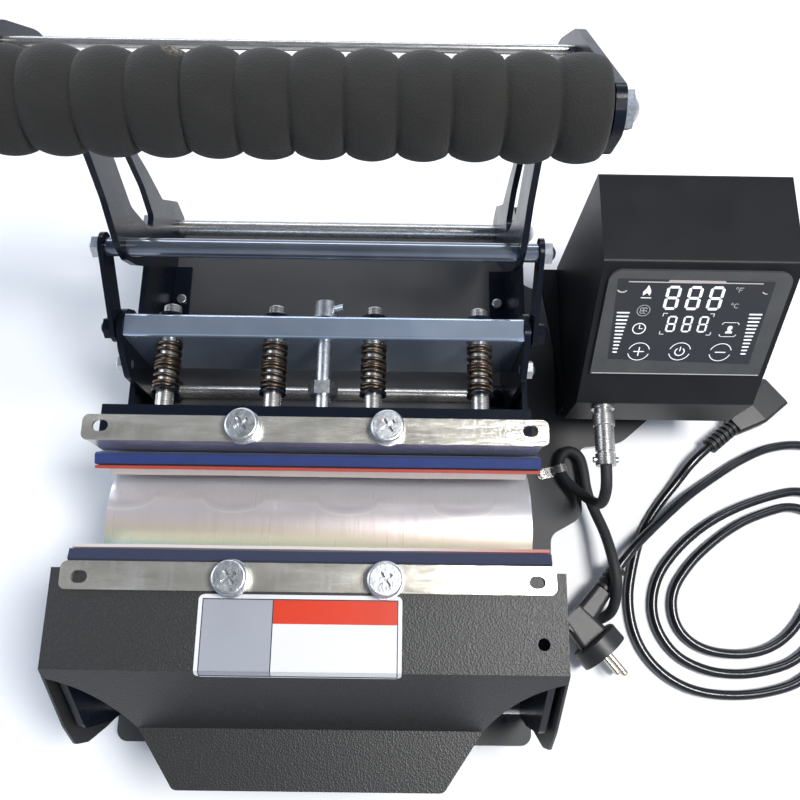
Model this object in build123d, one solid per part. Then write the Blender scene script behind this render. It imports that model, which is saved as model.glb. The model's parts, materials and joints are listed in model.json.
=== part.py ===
from build123d import *
import math
import os

# Tumbler heat press: a bench machine that wraps a heated pad round a drinks tumbler.
# Millimetres. X runs along the tumbler, to the right. Y runs from the front to the back.
# Z is up from the table. X = 0 is the middle of the machine.

os.makedirs("parts", exist_ok=True)

FIT = 0.05            # radial clearance of a shaft in its hole
SEAT = 0.3            # gap between pieces that only rest on each other

# Base
FOOT_R, FOOT_H = 12.0, 8.0
BASE_T = 3.0
BASE_HALF_X = 149.0
BASE_FRONT_Y, BASE_BACK_Y = -121.0, 285.0
BASE_WING_X = 194.0
BASE_LOBE_X = 256.0
BASE_Z = FOOT_H + BASE_T

# Widths: the plates, arms, strips and bar keep their gaps inside the cover
COVER_T = 1.5
COVER_HALF_X = 147.0
COVER_SIDE_GAP = 3.5
FRAME_T = 4.0
FRAME_X = COVER_HALF_X - COVER_T - COVER_SIDE_GAP - FRAME_T

# Clamp strips, and the heated pad between them
PAD_Y, PAD_Z = 24.0, 76.0
PAD_LEAN = 16.0
PAD_HALF_X = FRAME_X + 2.0
SPONGE_T = 8.0
HEATER_T = 2.0
HEATER_BORE_R = 44.1
FRONT_PAD_TOP_Z, REAR_PAD_TOP_Z = 164.0, 141.0
LINER_T = 0.8
LINER_R = 42.5         # outside of the inner layer
LINER_LAP = 40.0
LINER_HALF_X = PAD_HALF_X - 3.0
CRADLE_T = 2.0
CRADLE_HALF_X = FRAME_X - 8.0
CRADLE_ARC = 70.0
RIB_X, RIB_T = 80.0, 4.0

STRIP_HALF_X = FRAME_X + 3.0
STRIP_T = 2.0
STRIP_W = 17.0
FRONT_STRIP_DROP, REAR_STRIP_DROP = 6.0, 29.0
STRIP_SLOT_X, STRIP_SLOT_L, STRIP_SLOT_W = STRIP_HALF_X - 11.0, 9.5, 7.0
FRONT_STRIP_Z, REAR_STRIP_Z = 170.0, 165.0
FRONT_FLANGE_Y, REAR_FLANGE_Y = -7.8, 64.0

# Big cross-head screws of the strips
CLAMP_SCREW_X = 43.5
CLAMP_HEAD_R, CLAMP_HEAD_H = 10.0, 8.0
CLAMP_SHANK_R = 4.0
CLAMP_WASHER_R, CLAMP_WASHER_T = 10.8, 1.6

# Front cover
COVER_TOP_Y, COVER_BEND_Y = -11.5, -67.0
SHELF_Z, SHELF_BACK_Y, SHELF_FRONT_Y = 119.5, -101.0, -135.0
SHELF_BACK_HALF_X, SHELF_FRONT_HALF_X = 103.0, 79.5
TIE_Y, TIE_Z, TIE_R = -94.0, 32.0, 4.0
LEAD_HOLE_Y, LEAD_HOLE_Z = -30.0, 24.0

# Frame side plates
FRAME_TOP_Z = 85.0
NOTCH_R = 57.0

# Four-bar: handle pivot, crank rod on the handle, link, and the sliding press frame
PIVOT_Y, PIVOT_Z, PIVOT_R = 262.0, 60.0, 6.0
CRANK_Y, CRANK_Z, CRANK_R = 190.0, 168.0, 6.0
LINK_Y, LINK_Z = 149.0, 131.0
LINK_X, LINK_T, LINK_W = FRAME_X, 3.0, 19.0
LINK_PIN_R = 4.0
ARM_X, ARM_T = FRAME_X - 14.0, 4.0
PRESS_STROKE = 57.7

# Press frame
BEAM_Y, BEAM_D = 141.3, 15.7
BEAM_TOP_Z, BEAM_H = 138.2, 69.0
BEAM_WALL = 2.0
PRESS_X, PRESS_T = FRAME_X - 5.4, 4.0
PRESS_BOLT_Y, PRESS_BOLT_Z = 130.0, 112.0
LOWER_ROD_Y, LOWER_ROD_Z, LOWER_ROD_R = 138.0, 22.0, 5.0
COLLAR_R, COLLAR_W = 8.5, 10.0

# Spring-loaded clamp bar
GUIDE_Z, GUIDE_R = 128.5, 5.8
BAR_Y, BAR_D, BAR_H = 67.0, 20.0, 38.0
BAR_HALF_X = FRAME_X - 7.0
GUIDE_X = (27.5 - BAR_HALF_X, -33.0, 33.0, BAR_HALF_X - 27.5)
SPRING_R, SPRING_WIRE_R, SPRING_TURNS = 7.5, 1.2, 9
SPRING_L = 34.0
CLIP_R, CLIP_T = 8.9, 2.0
BOLT_R, BOLT_HEAD_R, BOLT_HEAD_H = 5.0, 8.0, 10.0
BOLT_TIP_Y = 72.0
NUT_Y, NUT_FLATS, NUT_H = 104.0, 17.0, 8.5

# Handle
GRIP_Y, GRIP_Z = 138.6, 386.0
GRIP_HALF_X, GRIP_ROD_R = ARM_X - SEAT, 4.0
FOAM_R, FOAM_GROOVE_R, FOAM_PITCH = 19.6, 17.2, 19.0
STRUT_Y, STRUT_Z, STRUT_R = 199.0, 344.5, 2.2

# Control box
BOX_LEFT_X, BOX_W = 173.0, 122.0
BOX_FRONT_Y, BOX_BEND_Y, BOX_BACK_Y = 110.0, 172.6, 233.0
BOX_BOTTOM_Z, BOX_KNEE_Z, BOX_TOP_Z = 57.0, 102.0, 194.0
BOX_WALL = 1.5
GLASS_W, GLASS_L, GLASS_T = 113.0, 79.0, 2.2
GLASS_UP = 66.5
PLUG_X, PLUG_Z = BOX_LEFT_X + 20.5, 92.0
INLET_X, INLET_Z = BOX_LEFT_X + 39.0, 96.0

# Leads
LEAD_R = 4.0
CORD_R = 3.5


def write(name, *solids):
    """Write one sub-part; several solids make a group in one node."""
    shape = solids[0] if len(solids) == 1 else Compound(children=list(solids))
    export_step(shape, f"parts/{name}.step")


def rounded(points, radius):
    """A face from a closed outline with rounded corners."""
    return make_face(FilletPolyline(*points, radius=radius, close=True))


def side_plate(points, radius, x0, thickness):
    """A plate that stands in the YZ plane, from an outline of (Y, Z) points."""
    return extrude(Plane.YZ.offset(x0) * rounded(points, radius), amount=thickness)


def rod_x(y, z, r, x0, x1):
    """A round bar along X."""
    plane = Plane(origin=(x0, y, z), x_dir=(0, 1, 0), z_dir=(1, 0, 0))
    return extrude(plane * Circle(r), amount=x1 - x0)


def rod_y(x, z, r, y0, y1):
    """A round bar along Y."""
    plane = Plane(origin=(x, y0, z), x_dir=(1, 0, 0), z_dir=(0, 1, 0))
    return extrude(plane * Circle(r), amount=y1 - y0)


def rod_z(x, y, r, z0, z1):
    """A round bar along Z."""
    return extrude(Plane(origin=(x, y, z0)) * Circle(r), amount=z1 - z0)


def box(x0, x1, y0, y1, z0, z1):
    """A block between two corners."""
    return Pos((x0 + x1) / 2, (y0 + y1) / 2, (z0 + z1) / 2) * Box(x1 - x0, y1 - y0, z1 - z0)


def mirrored(x0, thickness, side):
    """The lowest X of a plate that starts x0 from the middle, on the left or right side."""
    return x0 if side > 0 else -x0 - thickness


def dome_nut(x, y, z, side, flats, hex_h, bore_r):
    """A closed nut on the end of a bar along X; side is the way that its dome points."""
    plane = Plane(origin=(x, y, z), x_dir=(0, 1, 0), z_dir=(side, 0, 0))
    body = extrude(plane * RegularPolygon(flats / 2, 6, major_radius=False), amount=hex_h)
    dome_r = flats / 2 - 0.6
    body += plane * Pos(0, 0, hex_h) * Sphere(dome_r, arc_size1=0)
    return body - extrude(plane * Circle(bore_r), amount=hex_h)


def clamp_screw(x, y, seat_z, tip_z):
    """A big cross-head screw with its washer, standing on seat_z."""
    washer = rod_z(x, y, CLAMP_WASHER_R, seat_z, seat_z + CLAMP_WASHER_T)
    washer -= rod_z(x, y, CLAMP_SHANK_R + FIT, seat_z, seat_z + CLAMP_WASHER_T)
    low = seat_z + CLAMP_WASHER_T
    head = rod_z(x, y, CLAMP_HEAD_R, low, low + CLAMP_HEAD_H)
    head = fillet(head.edges().group_by(Axis.Z)[-1], 1.6)
    for turn in (35, 125):
        slot = Box(9.5, 2.2, 3.0)
        head -= Pos(x, y, low + CLAMP_HEAD_H - 1.5) * Rot(0, 0, turn) * slot
    return washer, head + rod_z(x, y, CLAMP_SHANK_R, tip_z, low)


def biarc_wire(points, tangents):
    """A smooth wire of two tangent arcs between each pair of points."""
    edges = []
    for p, q, t, u in zip(points, points[1:], tangents, tangents[1:]):
        span = q - p
        both = t + u
        a = 4 - both.dot(both)
        b = 2 * span.dot(both)
        c = -span.dot(span)
        reach = -c / b if abs(a) < 1e-9 else (-b + math.sqrt(b * b - 4 * a * c)) / (2 * a)
        joint = (p + t * reach + q - u * reach) * 0.5
        along = (q - u * reach) - (p + t * reach)
        edges.append(Edge.make_tangent_arc(p, t, joint))
        edges.append(Edge.make_tangent_arc(joint, along.normalized(), q))
    return Wire(edges)


def tube_along(wire, r, sides=0):
    """A round or many-sided tube along a wire."""
    start = wire.position_at(0)
    ahead = wire.tangent_at(0)
    section = RegularPolygon(r, sides) if sides else Circle(r)
    return sweep(Plane(origin=start, z_dir=ahead) * section, path=wire)


def cord_radii(points):
    """For each corner of a route, 0.45 of its shorter run over the tangent of half the turn."""
    radii = []
    for a, b, c in zip(points, points[1:], points[2:]):
        before, after = Vector(*b) - Vector(*a), Vector(*c) - Vector(*b)
        half_turn = math.radians(before.get_angle(after)) / 2
        radii.append(0.45 * min(before.length, after.length) / math.tan(half_turn))
    return radii


def cord_tube(name, points, r):
    """A cord along straight runs joined by tangent arcs; prints its radii and length."""
    radii = cord_radii(points)
    wire = FilletPolyline(*points, radius=radii).wire()
    tube = tube_along(wire, r)
    print(name, "radii", [round(v, 1) for v in radii], "length", round(wire.length, 1))
    print(name, "volume over section times length", tube.volume / (math.pi * r * r * wire.length))
    return tube


# Base plate, feet and frame side plates

def base_plate():
    outline = [
        (-BASE_HALF_X, BASE_FRONT_Y), (BASE_HALF_X, BASE_FRONT_Y), (BASE_HALF_X, -12),
        (168, 8), (169, 30), (BASE_WING_X, 44), (BASE_WING_X, 100),
        (228, 104), (BASE_LOBE_X, 128), (BASE_LOBE_X, 215), (BASE_WING_X, 226),
        (BASE_HALF_X, 240), (BASE_HALF_X, BASE_BACK_Y), (-BASE_HALF_X, BASE_BACK_Y),
    ]
    radii = [8, 8, 12, 10, 10, 14, 8, 20, 24, 20, 16, 16, 12, 12]
    plate = extrude(Plane.XY.offset(FOOT_H) * rounded(outline, radii), amount=BASE_T)
    for x in (-130, 130):
        for y in (-104, 268):
            plate -= rod_z(x, y, 2.2, FOOT_H, BASE_Z)
    return plate


def foot(x, y):
    body = rod_z(x, y, FOOT_R, 0, FOOT_H)
    body = chamfer(body.edges().group_by(Axis.Z)[0], 1.5)
    return body + rod_z(x, y, 2.2, FOOT_H, BASE_Z)


def frame_plate(side):
    x0 = mirrored(FRAME_X, FRAME_T, side)
    outline = [
        (-96, BASE_Z), (-103, 60), (-103, 108), (-68, 158), (-40, 158), (-36, 60),
        (PAD_Y, PAD_Z - NOTCH_R - 6), (84, FRAME_TOP_Z), (PIVOT_Y - 20, FRAME_TOP_Z),
        (PIVOT_Y + 18, 76), (PIVOT_Y + 18, BASE_Z),
    ]
    plate = side_plate(outline, [3, 12, 14, 8, 6, 4, 4, 6, 14, 14, 3], x0, FRAME_T)
    plate -= rod_x(PAD_Y, PAD_Z, NOTCH_R, x0, x0 + FRAME_T)
    slot_mid = LOWER_ROD_Y - PRESS_STROKE / 2
    slot_plane = Plane(origin=(x0, slot_mid, LOWER_ROD_Z), x_dir=(0, 1, 0), z_dir=(1, 0, 0))
    slot = SlotCenterToCenter(PRESS_STROKE + 1, 2 * (LOWER_ROD_R + 2 * FIT))
    plate -= extrude(slot_plane * slot, amount=FRAME_T)
    plate -= rod_x(PIVOT_Y, PIVOT_Z, PIVOT_R, x0, x0 + FRAME_T)
    plate -= rod_x(TIE_Y, TIE_Z, TIE_R, x0, x0 + FRAME_T)
    if side > 0:
        plate -= rod_x(LEAD_HOLE_Y, LEAD_HOLE_Z, LEAD_R + 1.5, x0, x0 + FRAME_T)
    tab_x = FRAME_X - 13 if side > 0 else -FRAME_X
    for y0, y1 in ((-90, -50), (190, 250)):
        tab = box(tab_x, tab_x + 13, y0, y1, BASE_Z, BASE_Z + 3)
        tab -= rod_z(side * (FRAME_X - 7), (y0 + y1) / 2, 2.5, BASE_Z, BASE_Z + 3)
        plate += tab
    return plate


def tab_screw(side, y):
    x = side * (FRAME_X - 7)
    head = rod_z(x, y, 4.2, BASE_Z + 3, BASE_Z + 6)
    return fillet(head.edges().group_by(Axis.Z)[-1], 1.0) + rod_z(x, y, 2.5, BASE_Z, BASE_Z + 3)


def pad_outline(r, front_len, rear_len):
    """Points of one face of the pad, from the front end round the bottom to the rear end."""
    lean = math.radians(PAD_LEAN)
    front = (PAD_Y - r * math.cos(lean), PAD_Z + r * math.sin(lean))
    rear = (PAD_Y + r * math.cos(lean), PAD_Z + r * math.sin(lean))
    front_end = (front[0] + front_len * math.sin(lean), front[1] + front_len * math.cos(lean))
    rear_end = (rear[0] - rear_len * math.sin(lean), rear[1] + rear_len * math.cos(lean))
    return front_end, front, (PAD_Y, PAD_Z - r), rear, rear_end


def pad_layer(r_in, r_out, half_x):
    """One layer of the pad: a deep C that opens upwards between the two strips."""
    start_z = PAD_Z + 50 * math.sin(math.radians(PAD_LEAN))
    rise = math.cos(math.radians(PAD_LEAN))
    front_len = (FRONT_PAD_TOP_Z - start_z) / rise
    rear_len = (REAR_PAD_TOP_Z - start_z) / rise
    a = pad_outline(r_out, front_len, rear_len)
    b = pad_outline(r_in, front_len, rear_len)
    edges = [
        Line(a[0], a[1]), ThreePointArc(a[1], a[2], a[3]), Line(a[3], a[4]), Line(a[4], b[4]),
        Line(b[4], b[3]), ThreePointArc(b[3], b[2], b[1]), Line(b[1], b[0]), Line(b[0], a[0]),
    ]
    face = make_face(Curve() + edges)
    return extrude(Plane.YZ.offset(-half_x) * face, amount=2 * half_x)


def polar(radius, degrees):
    a = math.radians(degrees)
    return (PAD_Y + radius * math.cos(a), PAD_Z + radius * math.sin(a))


def liner_sheet():
    """A thin sheet rolled into a round bore, whose outer end laps over its inner end."""
    start, end = 165.0, 165.0 - 360.0 - LINER_LAP
    lapped = LINER_R + LINER_T + 0.1
    step_to = start - LINER_LAP - 14
    around = [step_to + (end - step_to) * i / 7 for i in range(8)]
    outer = [(lapped, start), (lapped, start - LINER_LAP - 2)] + [(LINER_R, a) for a in around]
    edges = []
    for (r0, a0), (r1, a1) in zip(outer, outer[1:]):
        middle = polar((r0 + r1) / 2, (a0 + a1) / 2)
        edges.append(ThreePointArc(polar(r0, a0), middle, polar(r1, a1)))
    edges.append(Line(polar(*outer[-1]), polar(outer[-1][0] - LINER_T, outer[-1][1])))
    inner = [(r - LINER_T, a) for r, a in reversed(outer)]
    for (r0, a0), (r1, a1) in zip(inner, inner[1:]):
        middle = polar((r0 + r1) / 2, (a0 + a1) / 2)
        edges.append(ThreePointArc(polar(r0, a0), middle, polar(r1, a1)))
    edges.append(Line(polar(*inner[-1]), polar(*outer[0])))
    return extrude(Plane.YZ.offset(-LINER_HALF_X) * make_face(Curve() + edges), amount=2 * LINER_HALF_X)


SPONGE_BORE_R = HEATER_BORE_R + HEATER_T + SEAT
SPONGE_R = SPONGE_BORE_R + SPONGE_T
CRADLE_R = SPONGE_R + SEAT + CRADLE_T


def pad_cradle():
    ring = Circle(CRADLE_R) - Circle(CRADLE_R - CRADLE_T)
    reach = 2 * CRADLE_R
    half = math.radians(CRADLE_ARC)
    wedge = make_face(Polyline(
        (0, 0), (-reach * math.sin(half), -reach * math.cos(half)), (-reach, -reach),
        (reach, -reach), (reach * math.sin(half), -reach * math.cos(half)), close=True))
    plane = Plane(origin=(-CRADLE_HALF_X, PAD_Y, PAD_Z), x_dir=(0, 1, 0), z_dir=(1, 0, 0))
    return extrude(plane * (ring & wedge), amount=2 * CRADLE_HALF_X)


def cradle_rib(x):
    half = 42.0
    rib = box(x - RIB_T / 2, x + RIB_T / 2, PAD_Y - half, PAD_Y + half, BASE_Z, PAD_Z - 34)
    return rib - rod_x(PAD_Y, PAD_Z, CRADLE_R, x - RIB_T, x + RIB_T)


# Strips, front cover and tie rod

def clamp_strip(top_z, flange_y, outward, drop):
    """A polished angle strip; outward is -1 where its top flange points to the front."""
    far_y = flange_y + outward * (STRIP_W - 1)
    low_y, high_y = sorted((flange_y, far_y))
    plate = Plane(origin=(0, (low_y + high_y) / 2, top_z - STRIP_T)) * RectangleRounded(
        2 * STRIP_HALF_X, high_y - low_y, 4)
    strip = extrude(plate, amount=STRIP_T)
    near = flange_y if outward > 0 else flange_y - STRIP_T
    strip += box(-STRIP_HALF_X + 4, STRIP_HALF_X - 4, near, near + STRIP_T,
                 top_z - drop, top_z)
    mid_y = flange_y + outward * (STRIP_W + STRIP_T - 1) / 2
    for x in (-STRIP_SLOT_X, STRIP_SLOT_X):
        slot = Plane(origin=(x, mid_y, top_z - STRIP_T)) * SlotOverall(STRIP_SLOT_L, STRIP_SLOT_W)
        strip -= extrude(slot, amount=STRIP_T)
    for x in (-CLAMP_SCREW_X, CLAMP_SCREW_X):
        strip -= rod_z(x, mid_y, CLAMP_SHANK_R + FIT, top_z - STRIP_T, top_z)
    return strip, mid_y


def front_cover():
    top = FRONT_STRIP_Z - STRIP_T
    line = Polyline((COVER_TOP_Y, top), (COVER_BEND_Y, top), (SHELF_BACK_Y, SHELF_Z),
                    (SHELF_FRONT_Y, SHELF_Z))
    under = Polyline((SHELF_FRONT_Y, SHELF_Z - COVER_T), (SHELF_BACK_Y - 0.5, SHELF_Z - COVER_T),
                     (COVER_BEND_Y + 0.5, top - COVER_T), (COVER_TOP_Y, top - COVER_T))
    ends = [Line(line @ 1, under @ 0), Line(under @ 1, line @ 0)]
    face = make_face(Curve() + [line, under] + ends)
    sheet = extrude(Plane.YZ.offset(-COVER_HALF_X) * face, amount=2 * COVER_HALF_X)
    right = [
        Line((COVER_HALF_X, COVER_TOP_Y), (COVER_HALF_X, COVER_BEND_Y - 5)),
        ThreePointArc((COVER_HALF_X, COVER_BEND_Y - 5), (118, -85),
                      (SHELF_BACK_HALF_X, SHELF_BACK_Y)),
        Line((SHELF_BACK_HALF_X, SHELF_BACK_Y), (SHELF_FRONT_HALF_X + 2, SHELF_FRONT_Y + 3)),
        ThreePointArc((SHELF_FRONT_HALF_X + 2, SHELF_FRONT_Y + 3),
                      (SHELF_FRONT_HALF_X, SHELF_FRONT_Y + 0.7),
                      (SHELF_FRONT_HALF_X - 3, SHELF_FRONT_Y)),
        Line((SHELF_FRONT_HALF_X - 3, SHELF_FRONT_Y), (0, SHELF_FRONT_Y)),
        Line((0, SHELF_FRONT_Y), (0, COVER_TOP_Y)),
        Line((0, COVER_TOP_Y), (COVER_HALF_X, COVER_TOP_Y)),
    ]
    half_plan = make_face(Curve() + right)
    plan = half_plan + mirror(half_plan, about=Plane.YZ)
    sheet &= extrude(Plane.XY.offset(SHELF_Z - 10) * plan, amount=top - SHELF_Z + 20)
    cheek = [
        (COVER_TOP_Y, top - 0.2), (COVER_BEND_Y, top - 0.2), (-101, 122), (-113, 100), (-114, 78),
        (-108, 45), (-100, BASE_Z + SEAT), (-56, BASE_Z + SEAT), (-44, 60), (-36, 124),
        (COVER_TOP_Y, 150),
    ]
    for side in (-1, 1):
        x0 = mirrored(COVER_HALF_X - COVER_T, COVER_T, side)
        plate = side_plate(cheek, [0.5, 8, 16, 12, 14, 12, 6, 10, 20, 14, 4], x0, COVER_T)
        plate -= rod_x(TIE_Y, TIE_Z, TIE_R, x0, x0 + COVER_T)
        sheet += plate
    sheet -= rod_z(133, -50.5, 3.5, top - 5, top + 1)
    for x in (-CLAMP_SCREW_X, CLAMP_SCREW_X):
        sheet -= rod_z(x, FRONT_SCREW_Y, CLAMP_SHANK_R + FIT, top - 5, top + 1)
    return sheet


FRONT_STRIP, FRONT_SCREW_Y = clamp_strip(FRONT_STRIP_Z, FRONT_FLANGE_Y, -1, FRONT_STRIP_DROP)
REAR_STRIP, REAR_SCREW_Y = clamp_strip(REAR_STRIP_Z, REAR_FLANGE_Y, 1, REAR_STRIP_DROP)


def front_nut(x):
    low = FRONT_STRIP_Z - STRIP_T - COVER_T - 7
    nut = extrude(Plane(origin=(x, FRONT_SCREW_Y, low)) * RegularPolygon(6.5, 6, major_radius=False),
                  amount=7)
    return nut - rod_z(x, FRONT_SCREW_Y, CLAMP_SHANK_R + FIT, low, low + 7)


# Handle

def arm_outline():
    return [
        (181, 168), (183, 184), (198, 214), (209, 246), (211, 280), (190, 322), (152, 354),
        (128, 372), (124, 394), (137, 401.5), (206, 350), (226, 320), (243, 262),
        (254, 200), (257, 150), (257, 112), (276, 76), (274, 48), (258, 46), (236, 62),
        (204, 110), (186, 150),
    ]


def handle_arm(side):
    x0 = mirrored(ARM_X, ARM_T, side)
    radii = [6, 14, 30, 30, 36, 30, 20, 12, 10, 6, 20, 30, 40, 60, 40, 8, 9, 9, 9, 14, 30, 14]
    arm = side_plate(arm_outline(), radii, x0, ARM_T)
    slot = rounded([(221, 141), (216.5, 172), (228, 210), (236, 262), (242, 262), (247, 190),
                    (243, 152), (235, 127), (226, 127)], [10, 20, 40, 2.6, 2.6, 60, 40, 4, 4])
    arm -= extrude(Plane.YZ.offset(x0) * slot, amount=ARM_T)
    for y, z, r in ((PIVOT_Y, PIVOT_Z, PIVOT_R + FIT), (CRANK_Y, CRANK_Z, CRANK_R),
                    (GRIP_Y, GRIP_Z, GRIP_ROD_R), (STRUT_Y, STRUT_Z, STRUT_R)):
        arm -= rod_x(y, z, r, x0, x0 + ARM_T)
    return arm


def foam_grip():
    """A foam sleeve with rounded ribs, on the grip rod between the arms."""
    count = round(2 * GRIP_HALF_X / FOAM_PITCH)
    pitch = 2 * GRIP_HALF_X / count
    edges = []
    handle = FOAM_R + (FOAM_R - FOAM_GROOVE_R) / 3
    for i in range(count):
        x = -GRIP_HALF_X + i * pitch
        edges.append(Bezier((x, FOAM_GROOVE_R), (x + pitch / 5, handle),
                            (x + 4 * pitch / 5, handle), (x + pitch, FOAM_GROOVE_R)))
    bore = GRIP_ROD_R + FIT
    edges += [
        Line((GRIP_HALF_X, FOAM_GROOVE_R), (GRIP_HALF_X, bore)),
        Line((GRIP_HALF_X, bore), (-GRIP_HALF_X, bore)),
        Line((-GRIP_HALF_X, bore), (-GRIP_HALF_X, FOAM_GROOVE_R)),
    ]
    sleeve = revolve(make_face(Curve() + edges), axis=Axis.X)
    return Pos(0, GRIP_Y, GRIP_Z) * sleeve


# Links and press frame

def link_plate(side):
    x0 = mirrored(LINK_X, LINK_T, side)
    dy, dz = LINK_Y - CRANK_Y, LINK_Z - CRANK_Z
    reach = math.hypot(dy, dz)
    plane = Plane(origin=(x0, (CRANK_Y + LINK_Y) / 2, (CRANK_Z + LINK_Z) / 2),
                  x_dir=(0, dy, dz), z_dir=(1, 0, 0))
    plate = extrude(plane * SlotCenterToCenter(reach, LINK_W), amount=LINK_T)
    plate -= rod_x(CRANK_Y, CRANK_Z, LINK_PIN_R + FIT, x0, x0 + LINK_T)
    pin_from = x0 if side > 0 else x0 + LINK_T
    plate += dome_nut(pin_from + side * LINK_T, LINK_Y, LINK_Z, side, 13, 5.5, 2)
    return plate


def press_plate(side):
    x0 = mirrored(PRESS_X, PRESS_T, side)
    foot_z = BASE_Z + SEAT
    outline = [
        (112, foot_z), (166, foot_z), (166, 30), (157, 58), (160, 96), (167, 118), (162, 134),
        (148, 142), (134, 133), (120, 114), (121, 60), (112, 36),
    ]
    plate = side_plate(outline, [2, 2, 6, 20, 20, 12, 8, 8, 10, 8, 20, 8], x0, PRESS_T)
    plate -= rod_x(LOWER_ROD_Y, LOWER_ROD_Z, LOWER_ROD_R, x0, x0 + PRESS_T)
    return plate - rod_x(PRESS_BOLT_Y, PRESS_BOLT_Z, 3.0, x0, x0 + PRESS_T)


def press_bolt(side):
    x0 = PRESS_X if side > 0 else -PRESS_X
    head_x = x0 + side * PRESS_T
    shank = rod_x(PRESS_BOLT_Y, PRESS_BOLT_Z, 3.0, min(x0, head_x), max(x0, head_x))
    return shank + dome_nut(head_x, PRESS_BOLT_Y, PRESS_BOLT_Z, side, 11, 4.5, 1.5)


def pressure_beam():
    """A chromed tube of tall section, with holes for the guide rods and the adjusting bolt."""
    z0 = BEAM_TOP_Z - BEAM_H
    plane = Plane(origin=(-PRESS_X + SEAT, BEAM_Y + BEAM_D / 2, z0 + BEAM_H / 2),
                  x_dir=(0, 1, 0), z_dir=(1, 0, 0))
    section = RectangleRounded(BEAM_D, BEAM_H, 2.2)
    hollow = RectangleRounded(BEAM_D - 2 * BEAM_WALL, BEAM_H - 2 * BEAM_WALL, 0.8)
    beam = extrude(plane * (section - hollow), amount=2 * (PRESS_X - SEAT))
    for x in GUIDE_X:
        beam -= rod_y(x, GUIDE_Z, GUIDE_R + FIT, BEAM_Y - 1, BEAM_Y + BEAM_D + 1)
    return beam - rod_y(0, GUIDE_Z, BOLT_R + FIT, BEAM_Y - 1, BEAM_Y + BEAM_D + 1)


def lower_collar(side):
    x0 = mirrored(PRESS_X - SEAT - COLLAR_W, COLLAR_W, side)
    ring = rod_x(LOWER_ROD_Y, LOWER_ROD_Z, COLLAR_R, x0, x0 + COLLAR_W)
    ring -= rod_x(LOWER_ROD_Y, LOWER_ROD_Z, LOWER_ROD_R + FIT, x0, x0 + COLLAR_W)
    mid = x0 + COLLAR_W / 2
    return ring + rod_z(mid, LOWER_ROD_Y, 2.2, LOWER_ROD_Z + LOWER_ROD_R + 1,
                        LOWER_ROD_Z + COLLAR_R + 2.5)


# Clamp bar with its guide rods, springs and adjusting bolt

def moving_bar():
    top = REAR_STRIP_Z - STRIP_T
    y0 = BAR_Y
    bar = box(-BAR_HALF_X, BAR_HALF_X, y0, y0 + BAR_D, top - BAR_H, top)
    bar -= box(-BAR_HALF_X - 1, BAR_HALF_X + 1, y0 + 3, y0 + BAR_D - 3, top - BAR_H - 1, top - 3)
    for x in GUIDE_X:
        bar += rod_y(x, GUIDE_Z, GUIDE_R + 3.0, y0 + 3, y0 + BAR_D - 3)
        bar -= rod_y(x, GUIDE_Z, GUIDE_R, y0 + 3, y0 + BAR_D + 1)
    bar += rod_y(0, GUIDE_Z, BOLT_R + 3.0, y0 + 3, y0 + BAR_D - 3)
    bar -= rod_y(0, GUIDE_Z, BOLT_R + FIT, BOLT_TIP_Y - 1, y0 + BAR_D + 1)
    for x in (-CLAMP_SCREW_X, CLAMP_SCREW_X):
        bar -= rod_z(x, REAR_SCREW_Y, CLAMP_SHANK_R, top - 4, top)
    return bar


def guide_rod(x):
    rod = rod_y(x, GUIDE_Z, GUIDE_R, BAR_Y + 3, BEAM_Y + BEAM_D + 9)
    rod = chamfer(rod.edges().group_by(Axis.Y)[-1], 0.8)
    return rod


def rod_clips(x):
    """The collar that the spring pushes on, and the stop ring behind the beam."""
    front = BEAM_Y - SEAT - SPRING_L - SEAT
    pieces = []
    for y0, thick in ((front - CLIP_T, CLIP_T), (BEAM_Y + BEAM_D + SEAT, CLIP_T)):
        ring = rod_y(x, GUIDE_Z, CLIP_R, y0, y0 + thick)
        pieces.append(ring - rod_y(x, GUIDE_Z, GUIDE_R + FIT, y0, y0 + thick))
    return pieces


def spring(x):
    """A compression spring round a guide rod: one unbroken tube along biarcs."""
    y1 = BEAM_Y - SEAT - SPRING_WIRE_R
    y0 = y1 - SPRING_L + 2 * SPRING_WIRE_R
    steps = SPRING_TURNS * 4
    points, tangents = [], []
    rise = (y1 - y0) / steps
    for i in range(steps + 1):
        a = i * math.pi / 2
        points.append(Vector(x + SPRING_R * math.cos(a), y0 + rise * i,
                             GUIDE_Z + SPRING_R * math.sin(a)))
        slope = rise / (SPRING_R * math.pi / 2)
        tangents.append(Vector(-math.sin(a), slope, math.cos(a)).normalized())
    wire = biarc_wire(points, tangents)
    return tube_along(wire, SPRING_WIRE_R, 5)


def adjusting_bolt():
    """A socket-head bolt: its head bears on the back of the beam, its tip is in the clamp bar."""
    seat_y = BEAM_Y + BEAM_D + SEAT
    shank = rod_y(0, GUIDE_Z, BOLT_R, BOLT_TIP_Y, seat_y)
    flange = rod_y(0, GUIDE_Z, 9.0, seat_y, seat_y + 2)
    head = rod_y(0, GUIDE_Z, BOLT_HEAD_R, seat_y + 2, seat_y + 2 + BOLT_HEAD_H)
    plane = Plane(origin=(0, seat_y + 2 + BOLT_HEAD_H, GUIDE_Z), x_dir=(1, 0, 0), z_dir=(0, -1, 0))
    head -= extrude(plane * RegularPolygon(4.0, 6, major_radius=False), amount=5)
    screw_plane = Plane(origin=(0, seat_y + 7, GUIDE_Z), x_dir=(0, 1, 0), z_dir=(1, 0, 0.6))
    screw = extrude(screw_plane * Pos(0, 0, 7) * Circle(2.2), amount=8)
    return shank + flange + head + screw


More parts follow.
